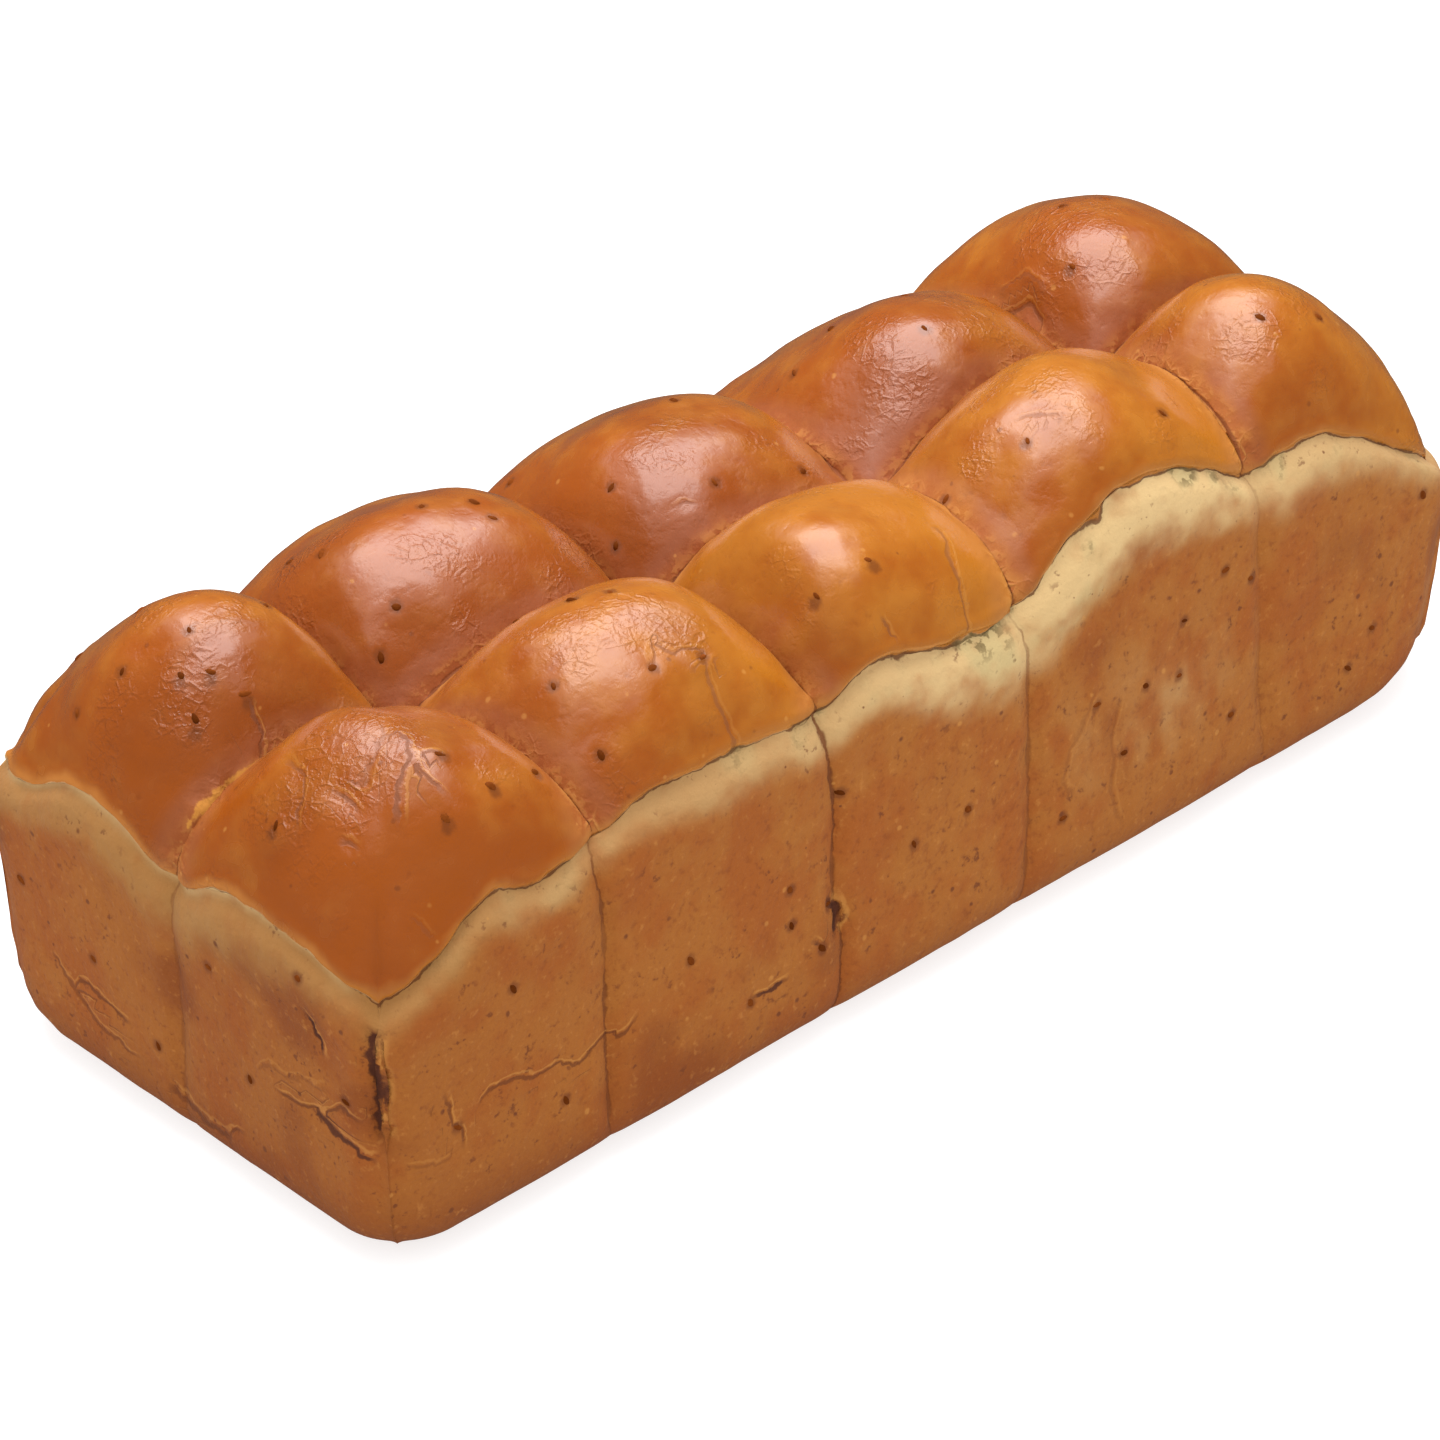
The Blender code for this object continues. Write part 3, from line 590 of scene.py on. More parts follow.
# Relief along the normals, in metres: lumps, ripples, crinkles at creases, lip and cut at the crack
def reliefHeight(points, data, lineRelief):
    form = crustRelief
    crack, crease = data["crackDistance"] / 1000, np.abs(data["creaseDistance"]) / 1000
    onDomes = easedStep(crack, -0.0015, 0.0030)
    lumps = np.zeros(len(points))
    for name, seed in (("domeLump", 11), ("domeRipple", 12), ("wallLump", 13), ("wallRipple", 14)):
        share = onDomes if seed < 13 else 1 - onDomes
        lumps += form[name] * spaceNoise(points, form[name + "Size"], seed) * share
    folded = 1 - 2 * np.abs(spaceNoise(points, form["creaseCrinkleSize"], 15))
    patches = easedStep(spaceNoise(points, 0.014, 16), -0.2, 0.5)
    crinkle = form["creaseCrinkle"] * folded * np.exp(-crease / form["creaseReach"]) * patches * onDomes
    lip = form["lip"] * bell(crack - form["lipPlace"], form["lipHalfWidth"])
    lip += form["endRidge"] * bell(crack, form["endRidgeHalfWidth"]) * data["onNearEnd"]
    cut = form["cut"] * bell(crack, form["cutHalfWidth"]) * data["crackWidth"] / 0.4
    for place, size, halfWidth in form["facets"]:
        middle = np.array([*planPoint(*place), 0.0])
        lumps += size * bell(np.linalg.norm((points - middle)[:, :2], axis=1), halfWidth) * onDomes
    seam = form["seamCut"] * bell(crease, form["seamHalfWidth"]) * (1 - onDomes) * data["seamPresence"]
    torn = form["tornCrumb"] * spaceNoise(points, form["tornCrumbSize"], 17) * data["torn"]
    fromSwell = data["seedDistance"] / 1000 - form["seedSwellPlace"]
    swell = form["seedSwell"] * bell(fromSwell, form["seedSwellHalfWidth"])
    height = lumps + crinkle + lip + torn + swell + lineRelief - cut - seam
    aboveFloor = easedStep(points[:, 2], 0.0005, 0.008)
    return height * aboveFloor


# Stores a number, or a row of three, for each point of a mesh
def store(mesh, name, values):
    values = np.asarray(values, np.float32)
    kind, field = ("FLOAT", "value") if values.ndim == 1 else ("FLOAT_VECTOR", "vector")
    mesh.attributes.new(name, kind, "POINT").data.foreach_set(field, values.ravel())


# What the crust's finish reads: distances in mm, and masks, three to an attribute
crustDistances = ("crackDistance", "creaseDistance", "seedDistance", "wrinkleAside")
maskSets = {
    "glazeMasks": ("warmAndPaintedLight", "deepAndPaintedShade", "crinkled"),
    "wallMasks": ("tan", "wallDeep", "band"),
    "bandMasks": ("pale", "green", "torn"),
    "lineMasks": ("wrinklePresence", "seamPresence", "crackWidth"),
}


# Patches under the masks: size in metres, seed, and layers of noise
patchForm = {
    "warmAndPaintedLight": (0.024, 21, 2), "deepAndPaintedShade": (0.030, 22, 2), "crinkled": (0.013, 23, 2), "tan": (0.015, 24, 3),
    "wallDeep": (0.020, 25, 3), "band": (0.013, 26, 3), "green": (0.010, 27, 3), "torn": (0.005, 28, 2),
    "whole": (0.0080, 29, 2), "crackWidth": (0.0060, 30, 2), "ragged": (0.0050, 31, 2),
    "tornBend": (0.009, 32, 1), "streaks": (0.0045, 33, 2),
}
# Place in columns and half width, height in metres and half height
scuffPatch = (3.50, 0.42, 0.038, 0.020)


def patchNoise(points, name):
    return layeredNoise(points, *patchForm[name])


# Soft masks over the crust from 0 to 1: layered noise, eased, and blended with places and distances
def addMasks(points, data):
    along, across = data["placeAlong"], data["placeAcross"]
    crack, crease = data["crackDistance"], np.abs(data["creaseDistance"])
    onDomes = crack > 0
    column, row = np.minimum(np.floor(along), 4), np.minimum(np.floor(across), 1)
    p, q = 2 * (along - column) - 1, 2 * (across - row) - 1
    # Gold share: each ball's own tone with painted light on its right and top and painted shade on its camera
    # side, plus oven patches
    data["warmAndPaintedLight"] = np.clip(goldAndPaintedLight(along, across) + 0.30 * patchNoise(points, "warmAndPaintedLight"), 0, 1)
    # Painted shade: darker on the back balls' slopes down to the row crease and on the near-end side of each
    # front ball
    shaded = np.where(row == 1, easedStep(q, 0.0, -0.8), 0.4 * easedStep(p, -0.3, -0.9))
    data["deepAndPaintedShade"] = np.clip(easedStep(patchNoise(points, "deepAndPaintedShade"), 0.10, 0.65) + 0.6 * shaded, 0, 1)
    nearCrease = np.exp(-crease / 4.0)
    nearTop = np.exp(-((p + 0.15) / 0.5) ** 2 - ((q + 0.1) / 0.45) ** 2)
    patches = easedStep(patchNoise(points, "crinkled") + 0.52 * np.maximum(nearCrease, nearTop), 0.16, 0.55)
    data["crinkled"] = patches * onDomes
    # A scuffed patch low on the fourth ball's wall, streaked from top to bottom
    place, halfWidth, height, halfHeight = scuffPatch
    scuffed = bell(along - place, halfWidth) * bell(points[:, 2] - height, halfHeight) * (across < 1e-6)
    streaks = patchNoise(points * (1, 1, 0.35), "streaks")
    tan = easedStep(patchNoise(points * (1, 1, 0.7), "tan"), -0.5, 0.5)
    data["tan"] = np.clip(tan + scuffed * (0.9 * streaks + 0.35), 0, 1)
    # Painted shade: the walls darken towards the floor
    paintedFootShade = easedStep(points[:, 2], 0.022, 0.003)
    mottled = 0.5 * easedStep(patchNoise(points, "wallDeep"), 0.10, 0.55)
    depth = sideValue(along, across, wallDepth) + 1.1 * scuffed * np.maximum(-streaks, 0)
    data["wallDeep"] = np.clip(0.50 * paintedFootShade + mottled + depth, 0, 1)
    width = sideValue(along, across, bandWidth)
    pushed = -crack + 4.0 * patchNoise(points, "band")
    data["band"] = easedStep(pushed / width, 1.35, 0.15)
    data["pale"] = np.clip(sideValue(along, across, bandPaleness) * easedStep(pushed / width, 1.4, 0.4), 0, 1)
    data["green"] = data["pale"] * easedStep(patchNoise(points, "green"), 0.02, 0.42)
    data["band"] = np.maximum(data["band"], scuffed * np.clip(0.30 + 0.40 * streaks, 0, 1))
    data["pale"] = np.maximum(data["pale"], 0.5 * scuffed)
    tornHalfWidth = 0.012 + 0.009 * patchNoise(points, "torn")
    torn = bell(across - 1.022 - 0.012 * patchNoise(points, "tornBend"), tornHalfWidth)
    data["torn"] = torn * easedStep(along, 0.04, 0.13) * easedStep(along, 0.47, 0.36) * onDomes
    whole = easedStep(patchNoise(points, "whole"), -0.50, -0.10)
    seam = np.clip(np.round(along), 1, 4).astype(int) - 1
    strength = np.where(across < 1e-6, np.asarray(seamStrength["front"])[seam], seamStrength["hidden"])
    strength = np.where((along < 1e-6) & (across > 1e-6), seamStrength["near"], strength)
    strength = np.where(onDomes, 0.8, strength)
    data["seamPresence"] = strength * (0.35 + 0.65 * whole) * easedStep(crease, 7.0, 4.0)
    wide = (0.30 + 0.34 * patchNoise(points, "crackWidth")) * sideValue(along, across, crackRaggedness)
    data["onNearEnd"] = easedStep(along, 0.16, 0.01) * easedStep(across, 0.05, 0.25)
    data["crackWidth"] = np.clip(wide, 0.05, 1.2) * (1 - 0.75 * data["onNearEnd"]) * (0.3 + 0.7 * whole)
    data["pale"] = np.clip(data["pale"] + 0.45 * data["onNearEnd"] * bell(crack + 0.6, 1.4), 0, 1)


# The crust: domes and walls as one surface, with its relief and its distances as attributes
def makeCrust():
    grid, top = makeDomes()
    loop = rimLoop(*grid.shape[:2])
    u, v, x, y = (top[key][loop[0], loop[1]] for key in ("u", "v", "planX", "planY"))
    rings, seams = makeWalls(u, v, x, y, grid[loop[0], loop[1], 2])
    mesh, points = joinCrust(grid, rings, loop)
    tree = crustTree(mesh, points)
    normals = vertexNormals(mesh)
    seats = seedSeats(tree)
    ringCount, under = len(rings), len(crustMesh["underRings"])
    rim = grid[loop[0], loop[1]]
    drops = np.linalg.norm(np.diff(np.concatenate([rim[None], rings]), axis=0), axis=2)
    below = -np.cumsum(drops, axis=0) * 1000
    last = [below[-1]] * under

    def whole(onTop, onWalls, onUnder, middle):
        return np.concatenate([onTop.ravel(), np.asarray(onWalls).ravel(), np.ravel(onUnder), [middle]])

    wallsU, wallsV = np.tile(u, (ringCount, 1)), np.tile(v, (ringCount, 1))
    data = {
        "crackDistance": whole(top["crackDistance"], below, last, -90.0),
        "creaseDistance": whole(top["creaseDistance"], seams, [seams[-1]] * under, 30.0),
        "placeAlong": whole(top["u"], wallsU, [u] * under, 2.5),
        "placeAcross": whole(top["v"], wallsV, [v] * under, 1.0),
        "seedDistance": seedDistances(points, seats),
    }
    raggedness = 1.1 * sideValue(data["placeAlong"], data["placeAcross"], crackRaggedness) ** 2     # mm
    data["crackDistance"] += raggedness * patchNoise(points, "ragged")
    data["wrinkleAside"], data["wrinklePresence"], lineRelief = lineField(tree, points, normals)
    addMasks(points, data)
    points = points + normals * reliefHeight(points, data, lineRelief)[:, None]
    mesh.vertices.foreach_set("co", points.astype(np.float32).ravel())
    for name in crustDistances:
        store(mesh, name, data[name])
    for name, parts in maskSets.items():
        store(mesh, name, np.stack([data[part] for part in parts], axis=1))
    mesh.shade_smooth()
    mesh.update()
    return addObject("crust", mesh), crustTree(mesh, points)


# Gold share of the glaze: each ball's own, with painted light making it more golden on its right and top and
# painted shade making it less golden on its camera side
def goldAndPaintedLight(u, v):
    column, row = np.minimum(np.floor(u), 4).astype(int), np.minimum(np.floor(v), 1).astype(int)
    p, q = 2 * (u - column) - 1, 2 * (v - row) - 1
    # The p and q terms are painted light towards the right and top and painted shade towards the camera side
    own = np.asarray(ballGold)[column, row]
    return np.clip(own + 0.30 * p + 0.22 * q, 0, 1)


# One aniseed: rings of a long ellipsoid whose radius swells at each rib, closed at both tips
def seedShape():
    form = aniseedForm
    polar = np.linspace(0, math.pi, form["rings"] + 1)[1:-1, None]
    turn = np.linspace(0, 2 * math.pi, form["sides"], endpoint=False)[None, :]
    radius = np.sin(polar) ** 0.8 * (1 + form["ribs"] * np.cos(4 * turn))
    x = -np.cos(polar) * form["length"] / 2 + 0 * turn
    y = radius * np.cos(turn) * form["width"] / 2
    z = radius * np.sin(turn) * form["height"] / 2
    body = np.stack([x, y, z], axis=2)
    tips = np.array([[-form["length"] / 2, 0, 0], [form["length"] / 2, 0, 0]])
    points = np.concatenate([body.reshape(-1, 3), tips])
    sides, rings = form["sides"], form["rings"] - 1
    step = np.arange(sides)
    following = (step + 1) % sides
    faces = []
    for ring in range(rings - 1):
        low, high = ring * sides, (ring + 1) * sides
        faces += np.column_stack([low + following, high + following, high + step, low + step]).tolist()
    first, last = rings * sides, rings * sides + 1
    faces += np.column_stack([step, np.full(sides, first), following]).tolist()
    high = (rings - 1) * sides
    faces += np.column_stack([high + following, np.full(sides, last), high + step]).tolist()
    return points, faces


# All the aniseeds as one piece, each half sunk where it sits on the crust
def makeAniseeds(tree):
    points, faces = seedShape()
    allPoints, allFaces, tones = [], [], []
    draw = random.Random(31)
    for spot, normal, turn in seedSeats(tree):
        size = np.array([draw.uniform(0.65, 1.1), draw.uniform(0.75, 1.25), draw.uniform(0.8, 1.1)])
        tilt = Matrix.Rotation(math.radians(draw.uniform(-14, 14)), 3, "Y")
        spin = Matrix.Rotation(math.radians(turn), 3, "Z")
        facing = normal.to_track_quat("Z", "X").to_matrix() @ spin @ tilt
        seat = np.array(spot - normal * aniseedForm["sunk"])
        # Slightly curved grains
        bent = points + np.outer(points[:, 0] ** 2, (0, draw.uniform(-60, 60), 0))
        allFaces += [[n + len(points) * len(allPoints) for n in face] for face in faces]
        allPoints.append(bent * size @ np.array(facing).T + seat)
        tones += [draw.random()] * len(points)
    mesh = bpy.data.meshes.new("aniseeds")
    mesh.from_pydata(np.concatenate(allPoints), [], allFaces)
    store(mesh, "seedTone", tones)
    mesh.shade_smooth()
    mesh.update()
    print("aniseeds:", len(allPoints))
    return addObject("aniseeds", mesh)


# A material with its node tree and its shader
def newMaterial(name):
    material = bpy.data.materials.new(name)
    material.use_nodes = True
    return material, material.node_tree, material.node_tree.nodes["Principled BSDF"]


# Links a node's inputs where they are sockets and sets them where they are values
def feed(node, inputs):
    for name, value in inputs.items():
        if isinstance(value, bpy.types.NodeSocket):
            node.id_data.links.new(value, node.inputs[name])
        else:
            node.inputs[name].default_value = value


def addNode(tree, kind, inputs, **settings):
    node = tree.nodes.new("ShaderNode" + kind)
    for name, value in settings.items():
        setattr(node, name, value)
    feed(node, inputs)
    return node


# The node tree that the first socket among some values belongs to
def treeOf(*values):
    return next(value.id_data for value in values if isinstance(value, bpy.types.NodeSocket))


def calc(operation, *values):
    return addNode(treeOf(*values), "Math", dict(enumerate(values)), operation=operation).outputs[0]


def times(first, second):
    return calc("MULTIPLY", first, second)


# A value times a scale, plus an amount
def scaled(value, scale, plus):
    return calc("MULTIPLY_ADD", value, scale, plus)


def greatest(first, *others):
    for other in others:
        first = calc("MAXIMUM", first, other)
    return first


# An eased step over a value, from low at start to high at end
def fade(value, start, end, low=0.0, high=1.0):
    inputs = {"Value": value, "From Min": start, "From Max": end, "To Min": low, "To Max": high}
    return addNode(value.id_data, "MapRange", inputs, interpolation_type="SMOOTHSTEP").outputs[0]


def mixValues(share, low, high):
    return addNode(share.id_data, "Mix", {0: share, 2: low, 3: high}, data_type="FLOAT").outputs[0]


def blend(share, under, over):
    inputs = {0: share}
    for number, colour in ((6, under), (7, over)):
        inputs[number] = colour if isinstance(colour, bpy.types.NodeSocket) else (*colour, 1)
    return addNode(share.id_data, "Mix", inputs, data_type="RGBA").outputs[2]


def noise(place, size, detail, roughness):
    scale = calc("DIVIDE", 1.0, size) if isinstance(size, bpy.types.NodeSocket) else 1 / size
    inputs = {"Vector": place, "Scale": scale, "Detail": detail, "Roughness": roughness}
    return addNode(place.id_data, "TexNoise", inputs).outputs[0]


# What the mesh stores under a name: one number, or three masks as a vector
def stored(tree, name, output="Fac"):
    return addNode(tree, "Attribute", {}, attribute_name=name, attribute_type="GEOMETRY").outputs[output]


def storedMasks(tree, name):
    return addNode(tree, "SeparateXYZ", {0: stored(tree, name, "Vector")}).outputs


# A node group: inputs by name, each with its number or None for a vector, and named outputs
def newGroup(name, inputs, outputs, build):
    group = bpy.data.node_groups.new(name, "ShaderNodeTree")
    for label, value in inputs.items():
        kind = "NodeSocketVector" if value is None else "NodeSocketFloat"
        socket = group.interface.new_socket(label, in_out="INPUT", socket_type=kind)
        if value is not None:
            socket.default_value = value
    for label in outputs:
        group.interface.new_socket(label, in_out="OUTPUT", socket_type="NodeSocketFloat")
    results = build(group.nodes.new("NodeGroupInput").outputs)
    feed(group.nodes.new("NodeGroupOutput"), {label: results[label] for label in outputs})
    return group


def placeGroup(group, inputs):
    return addNode(treeOf(*inputs.values()), "Group", inputs, node_tree=group).outputs


# Grain: one noise for fine detail, and its ridges, which are high where it crosses its middle
def grainNodes(given):
    grain = noise(given["Place"], given["Size"], 3, given["Roughness"])
    away = calc("ABSOLUTE", calc("SUBTRACT", grain, 0.5))
    return {"Grain": grain, "Ridges": fade(away, 0.16, 0.0)}


# Ragged line: where a distance that grain pushes about is under a width
def raggedNodes(given):
    push = calc("SUBTRACT", given["Grain"], 0.5)
    away = calc("ABSOLUTE", scaled(push, given["Wander"], given["Distance"]))
    thick = times(given["Width"], scaled(given["Grain"], 1.2, 0.4))
    line = fade(calc("DIVIDE", away, thick), 1.0, 0.3)
    return {"Line": times(line, given["Presence"])}


# Flecks: round cells of random size, a share of them kept dark and the next share kept pale
def fleckNodes(given):
    tree = given["Grain"].id_data
    bend = times(given["Grain"], given["Size"])
    place = addNode(tree, "VectorMath", {0: given["Place"], 1: bend}, operation="ADD").outputs[0]
    scale = calc("DIVIDE", 1.0, given["Spacing"])
    cells = addNode(tree, "TexVoronoi", {"Vector": place, "Scale": scale}).outputs
    draw = addNode(tree, "SeparateColor", {0: cells["Color"]}).outputs
    size = times(given["Size"], scaled(draw[1], 0.8, 0.4))
    reach = calc("DIVIDE", size, given["Spacing"])
    spot = fade(cells["Distance"], reach, times(reach, 0.45))
    dark = calc("LESS_THAN", draw[0], given["Share"])
    pale = calc("GREATER_THAN", draw[0], calc("SUBTRACT", 1.0, given["Share"]))
    return {"Dark": times(spot, dark), "Pale": times(spot, pale)}


crustGrain = newGroup(
    "crustGrain", {"Place": None, "Size": 0.0026, "Roughness": 0.55}, ["Grain", "Ridges"], grainNodes)
raggedLine = newGroup(
    "raggedLine", {"Distance": 5.0, "Grain": 0.5, "Width": 0.4, "Wander": 1.0, "Presence": 1.0},
    ["Line"], raggedNodes)
flecks = newGroup(
    "flecks", {"Place": None, "Grain": 0.5, "Spacing": 0.01, "Size": 0.001, "Share": 0.4},
    ["Dark", "Pale"], fleckNodes)

crustLook = {
    "glazeRed": (0.280, 0.060, 0.0015), "glazeGold": (0.390, 0.128, 0.0060),
    # The pale crinkle colour also serves for painted glints and for the painted highlight beside each wrinkle
    "glazeDeep": (0.140, 0.024, 0.001), "lipPeach": (0.48, 0.19, 0.035), "crinklePaleAndGlint": (0.56, 0.25, 0.050),
    "wallOrange": (0.297, 0.076, 0.005), "wallTan": (0.323, 0.104, 0.011), "wallDeep": (0.193, 0.041, 0.002),
    "bandTan": (0.290, 0.122, 0.023), "bandCream": (0.61, 0.425, 0.195), "bandGreen": (0.45, 0.38, 0.175),
    "crackBrown": (0.130, 0.036, 0.005), "crackMoss": (0.140, 0.092, 0.028),
    "seamBrown": (0.140, 0.032, 0.003), "tornYellow": (0.46, 0.185, 0.022),
    "fleckBrown": (0.120, 0.026, 0.004), "fissureDark": (0.070, 0.014, 0.003),
    "glazeRoughness": 0.25, "wallRoughness": 0.90, "specular": 0.38, "coat": 0.42, "coatRoughness": 0.19,
}


def crustMaterial(look):
    material, tree, shader = newMaterial("baked crust")
    place = addNode(tree, "TexCoord", {}).outputs["Object"]
    crack, crease, seed, aside = (stored(tree, name) for name in crustDistances)
    warmAndPaintedLight, deepAndPaintedShade, crinkled = storedMasks(tree, "glazeMasks")
    tan, wallDeep, bandShare = storedMasks(tree, "wallMasks")
    pale, green, torn = storedMasks(tree, "bandMasks")
    presence, seamPresence, crackWidth = storedMasks(tree, "lineMasks")
    fine, ridges = placeGroup(crustGrain, {"Place": place, "Size": 0.0027, "Roughness": 0.55})
    wide = noise(place, 0.0075, 2, 0.5)
    pores = noise(place, 0.0011, 2, 0.6)
    offMiddle = calc("SUBTRACT", wide, 0.5)
    onWall = fade(scaled(fine, 1.2, crack), 0.80, 0.40)
    onDome = calc("SUBTRACT", 1.0, onWall)

    # A colour under layers, each with its share and a colour or the name of one
    def layered(under, *layers):
        for share, over in layers:
            under = blend(share, under, look[over] if isinstance(over, str) else over)
        return under

    # A height plus some masks, each times its amount
    def raised(height, *parts):
        for mask, amount in parts:
            height = scaled(mask, amount, height)
        return height

    def line(distance, width, wander, presence):
        return placeGroup(raggedLine, {
            "Distance": distance, "Grain": fine, "Width": width, "Wander": wander, "Presence": presence})[0]

    # Glaze: red-brown to gold by each ball's own tone, oven patches and painted light on its right and top;
    # darker in some patches and in painted shade low on the back balls and on the front balls' near sides;
    # peach at the lip
    glaze = layered(
        look["glazeRed"],
        (fade(scaled(offMiddle, 1.0, warmAndPaintedLight), 0.0, 1.0), "glazeGold"),
        (times(deepAndPaintedShade, 0.30), "glazeDeep"),
        (fade(fine, 0.38, 0.22, 0.0, 0.25), "glazeDeep"),
        (fade(scaled(wide, 4.0, crack), 5.4, 2.0, 0.0, 0.60), "lipPeach"))

    # Wall: orange-brown and tan mottling, darker near the floor with painted shade, pale band below the
    # crack, rough all over, with specks of grain that darken in patches and beside the wrinkles
    rough = scaled(fine, 0.6, times(pores, 0.4))
    band = layered(look["bandTan"], (pale, "bandCream"), (times(green, 0.6), "bandGreen"))
    bandHere = times(bandShare, scaled(offMiddle, 1.6, 1.0))
    mossy = times(green, fade(crack, -9.0, -2.0))
    blotches = times(fade(rough, 0.43, 0.36), greatest(fade(wide, 0.50, 0.64), presence, mossy))
    moss = times(fade(fine, 0.51, 0.43), mossy)
    wall = layered(
        look["wallOrange"],
        (fade(scaled(offMiddle, 1.8, tan), 0.0, 1.0), "wallTan"),
        (fade(scaled(calc("SUBTRACT", fine, 0.5), 0.6, wallDeep), 0.05, 1.0, 0.0, 0.8), "wallDeep"),
        (fade(rough, 0.50, 0.32, 0.0, 0.50), "wallDeep"),
        (fade(rough, 0.54, 0.72, 0.0, 0.40), "lipPeach"),
        (fade(bandHere, 0.0, 1.0, 0.0, 0.92), band),
        (times(blotches, 0.60), blend(green, look["fleckBrown"], look["crackMoss"])),
        (times(moss, 0.85), "crackMoss"))

    # Lines: the crack, seams and creases, listed wrinkles, pale crinkled edges that are partly painted
    # glints, and a painted highlight on one side of each wrinkle
    crackLine = line(calc("ADD", crack, 0.20), crackWidth, 1.2, 1.0)
    seamLine = line(crease, fade(wide, 0.45, 0.68, 0.36, 1.1), 1.5, seamPresence)
    wrinkleLine = line(aside, 0.70, 1.8, presence)
    # A painted highlight along one side of each wrinkle, which is also raised a little in the bump
    litWrinkleEdge = line(calc("SUBTRACT", aside, 1.2), 0.45, 1.8, presence)
    fissure = line(aside, 0.75, 1.6, fade(presence, 0.75, 0.95))
    fromCrease = calc("ABSOLUTE", crease)
    cells = addNode(tree, "TexVoronoi", {"Vector": place, "Scale": 300.0}, feature="DISTANCE_TO_EDGE").outputs
    crinkle = times(fade(scaled(fine, 0.5, cells["Distance"]), 0.38, 0.20), crinkled)
    flakes = times(fade(fine, 0.47, 0.58), scaled(wide, 1.4, -0.2))
    nearCrease = times(fade(fromCrease, 5.0, 1.0), fade(fromCrease, 0.2, 0.7))
    # Pale crinkled edges beside the creases: partly paler crust, partly painted glints
    crinkleEdgeAndGlint = times(times(greatest(crinkle, flakes), nearCrease), onDome)

    # Colour: glaze, wall, lines, torn crumb, flecks, and the darker crust round each aniseed
    tornShare = fade(scaled(fine, 1.8, torn), 1.45, 1.75)
    dark, light = placeGroup(
        flecks, {"Place": place, "Grain": fine, "Spacing": 0.0056, "Size": 0.0008, "Share": 0.30})
    colour = layered(
        glaze,
        (onWall, wall),
        (times(crackLine, 0.85), blend(green, look["crackBrown"], look["crackMoss"])),
        (times(seamLine, 0.85), "seamBrown"),
        (times(crinkleEdgeAndGlint, 0.45), "crinklePaleAndGlint"),
        (times(wrinkleLine, 0.85), "seamBrown"),
        (times(litWrinkleEdge, 0.4), "crinklePaleAndGlint"),
        (times(fissure, 0.9), "fissureDark"),
        (times(tornShare, 0.85), "tornYellow"),
        (times(dark, scaled(onWall, 0.30, 0.45)), "fleckBrown"),
        (times(light, 0.35), "crinklePaleAndGlint"),
        (fade(calc("ADD", seed, fine), 2.8, 1.4, 0.0, 0.7), "seamBrown"))

    # Gloss: a clear glaze on the domes, matte walls
    broken = greatest(tornShare, wrinkleLine, crackLine, seamLine)
    glossy = times(onDome, scaled(broken, -0.9, 1.0))
    glossy = times(glossy, fade(fromCrease, 1.5, 10.0, 0.15, 1.0))
    smooth = scaled(wide, 0.20, look["glazeRoughness"] - 0.10)

    # Bump in mm: crinkled glaze in patches, wall grain, and all the lines
    skin = raised(
        times(ridges, scaled(crinkled, 0.12, 0.012)),
        (crinkle, 0.14), (crinkleEdgeAndGlint, 0.09), (fine, 0.20), (wide, 0.26))
    grain = scaled(fine, 0.55, times(pores, 0.14))
    height = raised(
        mixValues(onWall, skin, grain),
        (crackLine, -0.18), (seamLine, -0.12), (wrinkleLine, -0.15), (litWrinkleEdge, 0.10))
    bump = addNode(tree, "Bump", {"Height": height, "Strength": 1.0, "Distance": 0.001}).outputs[0]
    feed(shader, {
        "Base Color": colour, "Roughness": mixValues(glossy, look["wallRoughness"], smooth),
        "Coat Weight": times(glossy, look["coat"]), "Normal": bump,
        "Coat Roughness": look["coatRoughness"], "Specular IOR Level": look["specular"]})
    return material


aniseedLook = {
    "dark": (0.080, 0.016, 0.001), "brown": (0.200, 0.048, 0.007), "roughness": 0.70, "specular": 0.02}


def aniseedMaterial(look):
    material, tree, shader = newMaterial("baked aniseed")
    place = addNode(tree, "TexCoord", {}).outputs["Object"]
    grain = placeGroup(crustGrain, {"Place": place, "Size": 0.0007, "Roughness": 0.6})["Grain"]
    share = times(stored(tree, "seedTone"), scaled(grain, 1.4, 0.1))
    bump = addNode(tree, "Bump", {"Height": grain, "Strength": 1.0, "Distance": 0.00015}).outputs[0]
    feed(shader, {
        "Base Color": blend(share, look["dark"], look["brown"]), "Normal": bump,
        "Roughness": look["roughness"], "Specular IOR Level": look["specular"]})
    return material


crust, finishedTree = makeCrust()
crust.data.materials.append(crustMaterial(crustLook))
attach(crust, "root")
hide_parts("loaf")
print("stage: crust,", len(crust.data.polygons), "faces")

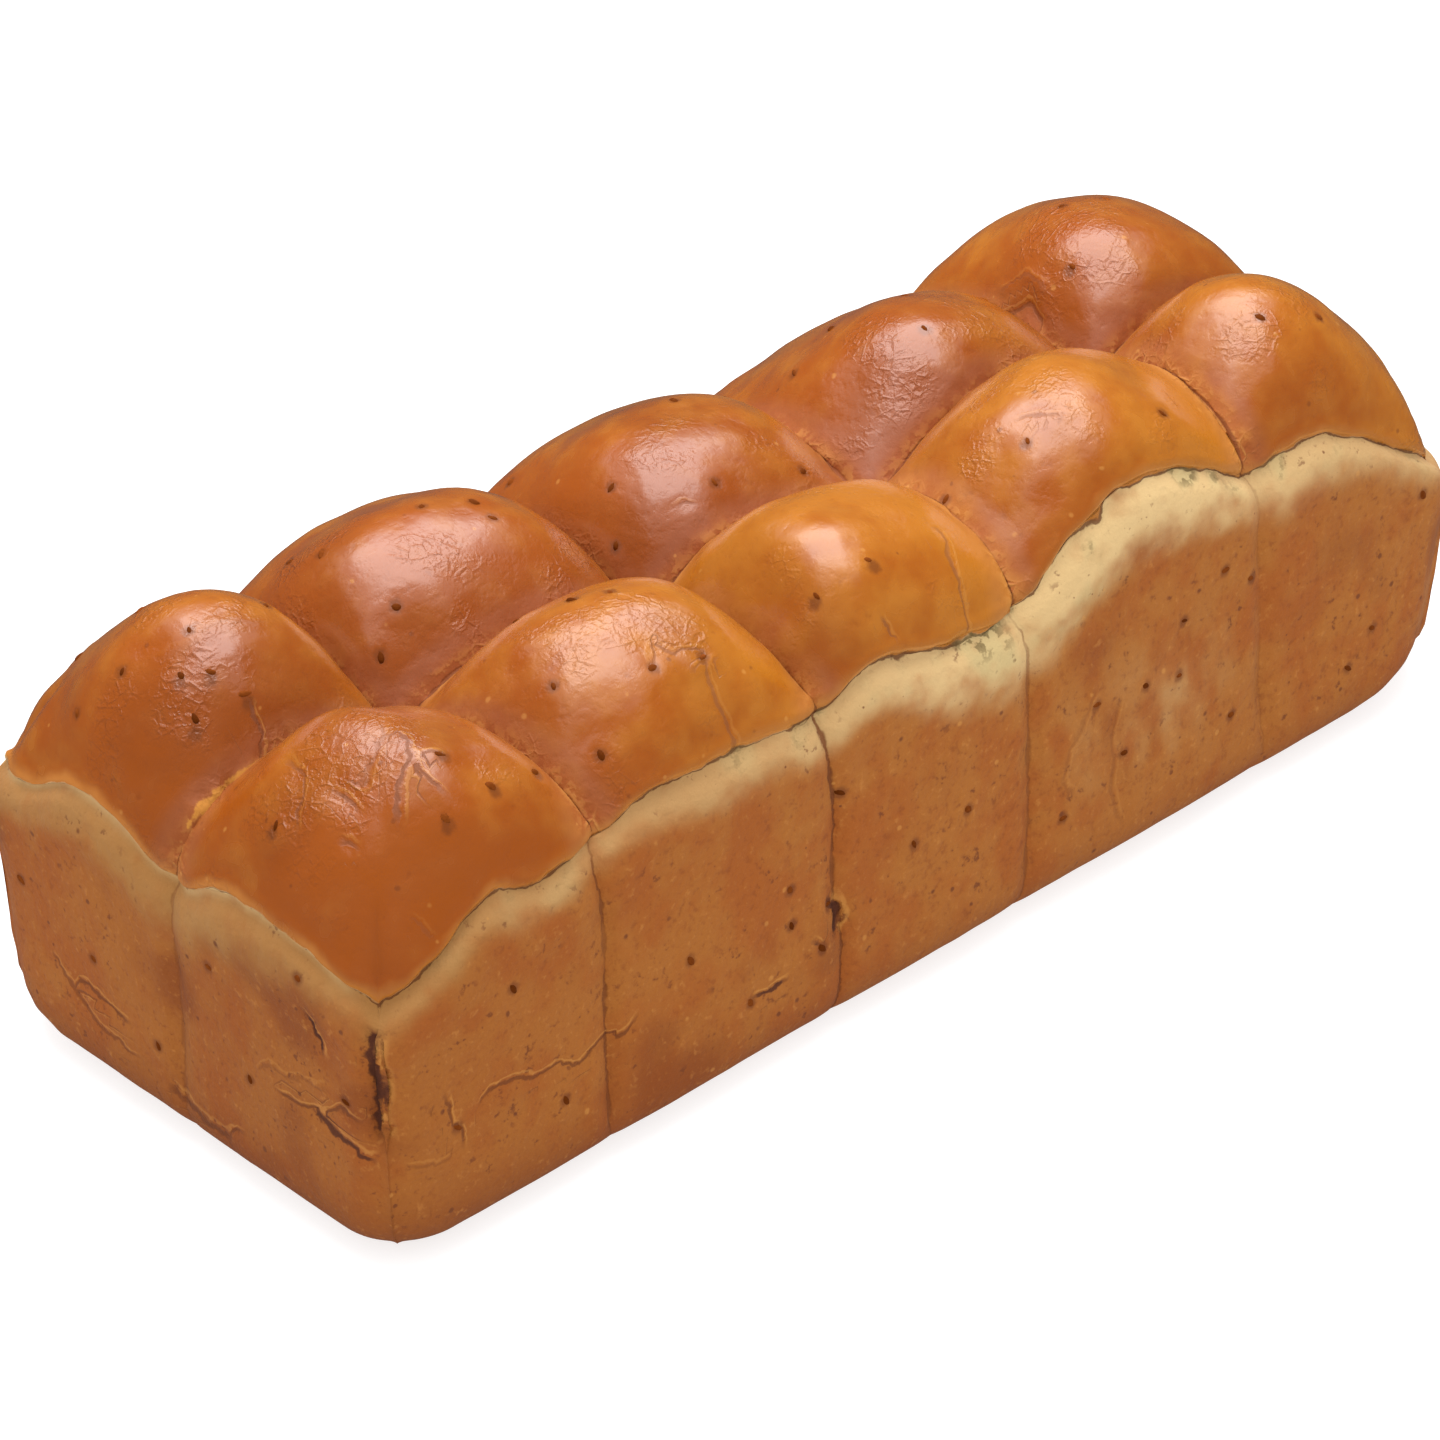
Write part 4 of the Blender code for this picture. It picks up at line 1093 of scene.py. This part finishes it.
aniseeds = makeAniseeds(finishedTree)
aniseeds.data.materials.append(aniseedMaterial(aniseedLook))
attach(aniseeds, "root")
print("stage: aniseeds")

studio = {
    "floorSize": 12.0, "floorHeight": -0.0003,
    "floorColour": (0.36, 0.36, 0.36), "floorRoughness": 0.9, "floorGlow": 0.75,
    "boxDistance": 1.0,
    # Each box: azimuth and elevation, size, power, and whether it lights more than the gloss.
    # The second only gives the highlights a soft edge
    "boxes": {"soft box": ((150, 75), 0.95, 13.0, True), "wide box": ((150, 79), 1.65, 11.5, False)},
    "sky": 1.22, "skyInGloss": 0.10,
}


def makeStudio(setting):
    half, height = setting["floorSize"] / 2, setting["floorHeight"]
    mesh = bpy.data.meshes.new("floor")
    corners = [(-half, -half, height), (half, -half, height), (half, half, height), (-half, half, height)]
    mesh.from_pydata(corners, [], [(0, 1, 2, 3)])
    material, _, shader = newMaterial("pale floor")
    feed(shader, {
        "Base Color": (*setting["floorColour"], 1), "Roughness": setting["floorRoughness"],
        "Emission Color": (1, 1, 1, 1), "Emission Strength": setting["floorGlow"]})
    mesh.materials.append(material)
    floor = addObject("floor", mesh)
    floor.visible_glossy = False

    for name, (direction, size, power, lightsAll) in setting["boxes"].items():
        aim = towards(*direction)
        light = bpy.data.lights.new(name, "AREA")
        light.shape = "SQUARE"
        light.size = size
        light.energy = power
        box = addObject(name, light)
        box.location = aim * setting["boxDistance"]
        box.rotation_mode = "QUATERNION"
        box.rotation_quaternion = aim.to_track_quat("Z", "Y")
        box.visible_diffuse = lightsAll

    world = bpy.data.worlds.new("studio air")
    bpy.context.scene.world = world
    world.use_nodes = True
    rays = addNode(world.node_tree, "LightPath", {}).outputs
    inGloss = times(rays["Is Glossy Ray"], setting["skyInGloss"] - setting["sky"])
    seen = times(rays["Is Camera Ray"], 1.0 - setting["sky"])
    strength = calc("ADD", calc("ADD", inGloss, seen), setting["sky"])
    feed(world.node_tree.nodes["Background"], {"Color": (1, 1, 1, 1), "Strength": strength})
    bpy.context.scene.view_settings.view_transform = "Standard"


makeStudio(studio)
print("stage: studio")
